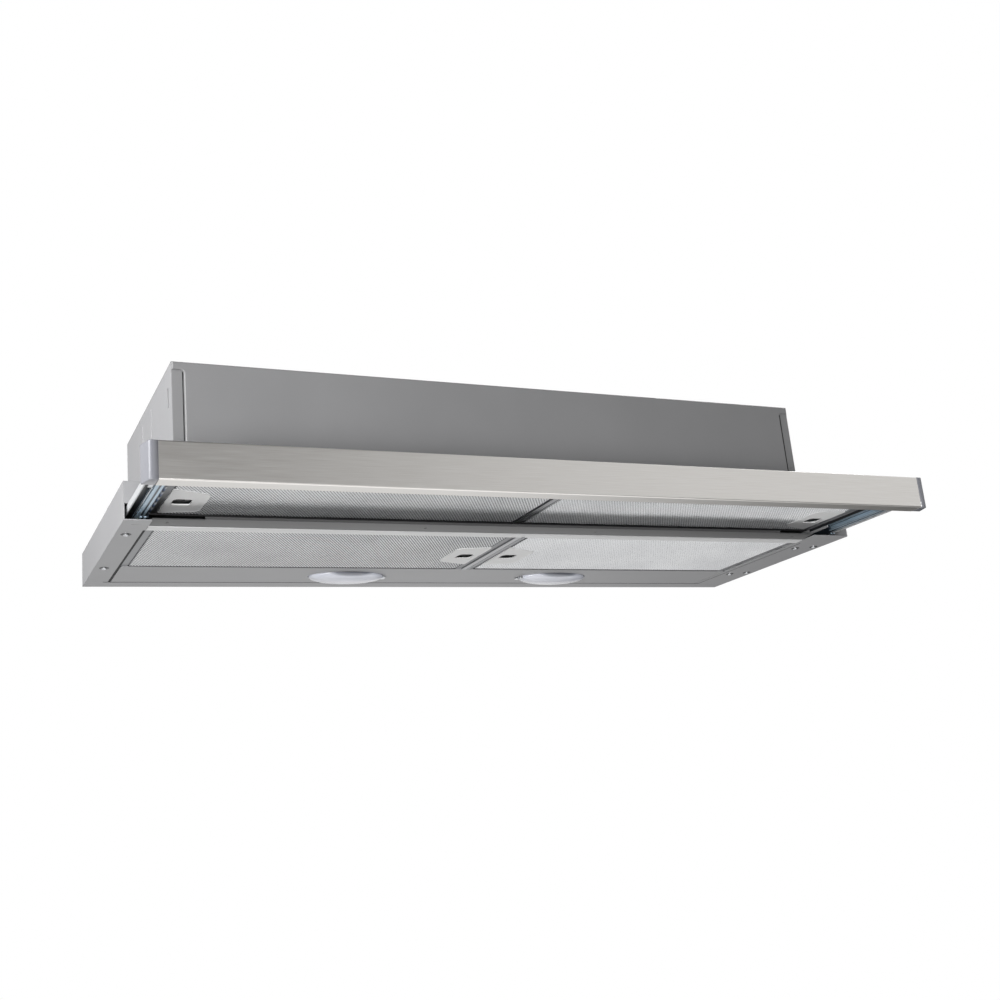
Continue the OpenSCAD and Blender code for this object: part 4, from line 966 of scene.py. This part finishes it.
def floorMaterial():
    # plain pale paint that keeps the shadow, with white for the camera, metal and glass
    mat, tree, shader, coords = startMaterial("paleFloor", 0.8)
    shader.inputs["Base Color"].default_value = hexToLinear(floorSettings["colour"])
    path = addNode(tree, "ShaderNodeLightPath")
    seen = addNode(tree, "ShaderNodeMath", {"operation": "MAXIMUM"},
                   {0: (path, "Is Camera Ray"), 1: (path, "Is Glossy Ray")})
    seen = addNode(tree, "ShaderNodeMath", {"operation": "MAXIMUM"},
                   {0: (seen, "Value"), 1: (path, "Is Transmission Ray")})
    share = addNode(tree, "ShaderNodeMath", {"operation": "MULTIPLY"},
                    {0: (seen, "Value"), 1: floorSettings["white"]})
    split = addNode(tree, "ShaderNodeSeparateXYZ", {}, {"Vector": (coords, "Object")})
    places = floorSettings["gloss"]
    low, high = places[0][0], places[-1][0]
    across = addNode(tree, "ShaderNodeMapRange", {},
                     {"Value": (split, "X"), "From Min": low, "From Max": high})
    shade = addNode(tree, "ShaderNodeValToRGB", {}, {"Fac": (across, "Result")},
                    [((at - low) / (high - low), level) for at, level in places])
    mirrored = addNode(tree, "ShaderNodeMixRGB", {},
                       {"Fac": (path, "Is Glossy Ray"), "Color1": (1, 1, 1, 1), "Color2": (shade, "Color")})
    glow = addNode(tree, "ShaderNodeEmission", {}, {"Color": (mirrored, "Color"), "Strength": 1.0})
    blend = addNode(tree, "ShaderNodeMixShader", {},
                    {"Fac": (share, "Value"), 1: (shader, "BSDF"), 2: (glow, "Emission")})
    tree.links.new(blend.outputs["Shader"], tree.nodes["Material Output"].inputs["Surface"])
    return mat


bm = bmesh.new()
bmesh.ops.create_grid(bm, x_segments=1, y_segments=1, size=floorSettings["size"] / 2)
bmesh.ops.translate(bm, vec=floorSettings["middle"], verts=bm.verts[:])
floorData = bpy.data.meshes.new("floor")
bm.to_mesh(floorData)
bm.free()
floorData.materials.append(floorMaterial())
floor = bpy.data.objects.new("floor", floorData)
bpy.context.scene.collection.objects.link(floor)


# world: white to the camera, dim to dull surfaces, light and dark panels to glossy ones

worldSettings = {
    "ambient": "#F7F7F8",
    "strength": 0.12,  # of the light on dull surfaces
    "gloss": [(0.0, 1.0), (0.3, 0.9), (0.45, 0.05), (0.61, 0.05), (0.72, 1.0), (1.0, 1.0)],  # left to right
    "lowGloss": [(0.0, 1.0), (0.72, 1.0), (0.8, 0.3), (0.84, 0.04), (1.0, 0.04)],  # below the horizon
}


def studioWorld():
    world = bpy.data.worlds.new("studio")
    world.use_nodes = True
    tree = world.node_tree
    tree.nodes.clear()
    path = addNode(tree, "ShaderNodeLightPath")
    shown = addNode(tree, "ShaderNodeMath", {"operation": "MAXIMUM"},
                    {0: (path, "Is Camera Ray"), 1: (path, "Is Transmission Ray")})
    ambient = addNode(tree, "ShaderNodeBackground", {},
                      {"Color": hexToLinear(worldSettings["ambient"]), "Strength": worldSettings["strength"]})
    white = addNode(tree, "ShaderNodeBackground", {}, {"Color": (1, 1, 1, 1), "Strength": 1.0})
    ray = addNode(tree, "ShaderNodeTexCoord")
    split = addNode(tree, "ShaderNodeSeparateXYZ", {}, {"Vector": (ray, "Generated")})
    across = addNode(tree, "ShaderNodeMapRange", {},
                     {"Value": (split, "X"), "From Min": -1.0, "From Max": 1.0})
    upper, lower = (addNode(tree, "ShaderNodeValToRGB", {}, {"Fac": (across, "Result")}, worldSettings[part])
                    for part in ("gloss", "lowGloss"))
    above = addNode(tree, "ShaderNodeMath", {"operation": "GREATER_THAN"}, {0: (split, "Z"), 1: 0.0})
    panels = addNode(tree, "ShaderNodeMixRGB", {},
                     {"Fac": (above, "Value"), "Color1": (lower, "Color"), "Color2": (upper, "Color")})
    mirrored = addNode(tree, "ShaderNodeBackground", {}, {"Color": (panels, "Color"), "Strength": 1.0})
    inner = addNode(tree, "ShaderNodeMixShader", {},
                    {"Fac": (path, "Is Glossy Ray"), 1: (ambient, "Background"), 2: (mirrored, "Background")})
    blend = addNode(tree, "ShaderNodeMixShader", {},
                    {"Fac": (shown, "Value"), 1: (inner, "Shader"), 2: (white, "Background")})
    addNode(tree, "ShaderNodeOutputWorld", {}, {"Surface": (blend, "Shader")})
    return world


bpy.context.scene.world = studioWorld()


# lamps: soft rectangles, placed and sized in metres

lamps = {
    "keyLeft": {"place": (-1.25, -0.6, 0.5), "target": (0, -0.2, 0.05), "size": (0.9, 0.9), "watts": 17},
    "frontSoftbox": {"place": (-1.0, -1.65, -0.42), "target": (0, -0.3, 0), "size": (1.1, 0.3), "watts": 27},
    "lowSoftbox": {"place": (0.3, -0.2, -1.1), "target": (0.1, -0.15, 0), "size": (1.6, 1.2), "watts": 4.2},
    "rearSoftbox": {"place": (1.2, 1.3, 0.9), "target": (0, -0.1, 0.05), "size": (1.4, 1.0), "watts": 55},
}


def addLamp(name, place, target, size, watts):
    data = bpy.data.lights.new(name, "AREA")
    data.shape = "RECTANGLE"
    data.size, data.size_y = size
    data.energy = watts
    lamp = bpy.data.objects.new(name, data)
    bpy.context.scene.collection.objects.link(lamp)
    lamp.location = place
    lamp.rotation_euler = (Vector(target) - Vector(place)).to_track_quat("-Z", "Y").to_euler()
    lamp.visible_camera = False


for lampName, lampSettings in lamps.items():
    addLamp(lampName, **lampSettings)


# camera at the photograph's viewing angle

cameraSettings = {
    "lens": 45.51,  # mm
    "sensor": 36,  # mm wide
    "place": (-0.64562, -1.52439, -0.35804),  # metres
    "azimuth": -26.34,  # degrees, as the next two are
    "elevation": -15.20,
    "roll": -5.48,
}


def addCamera():
    azimuth, elevation, roll = (math.radians(cameraSettings[key])
                                for key in ("azimuth", "elevation", "roll"))
    forward = Vector((-math.sin(azimuth) * math.cos(elevation), math.cos(azimuth) * math.cos(elevation),
                      -math.sin(elevation)))
    right = forward.cross(Vector((0, 0, 1))).normalized()
    up = right.cross(forward)
    rolledRight = math.cos(roll) * right + math.sin(roll) * up
    rolledUp = -math.sin(roll) * right + math.cos(roll) * up
    data = bpy.data.cameras.new("camera")
    data.lens = cameraSettings["lens"]
    data.sensor_width = cameraSettings["sensor"]
    camera = bpy.data.objects.new("camera", data)
    bpy.context.scene.collection.objects.link(camera)
    turn = Matrix((rolledRight, rolledUp, -forward)).transposed()
    camera.matrix_world = Matrix.Translation(cameraSettings["place"]) @ turn.to_4x4()
    return camera


bpy.context.scene.camera = addCamera()
bpy.context.scene.view_settings.view_transform = "Standard"

print("scene ready")
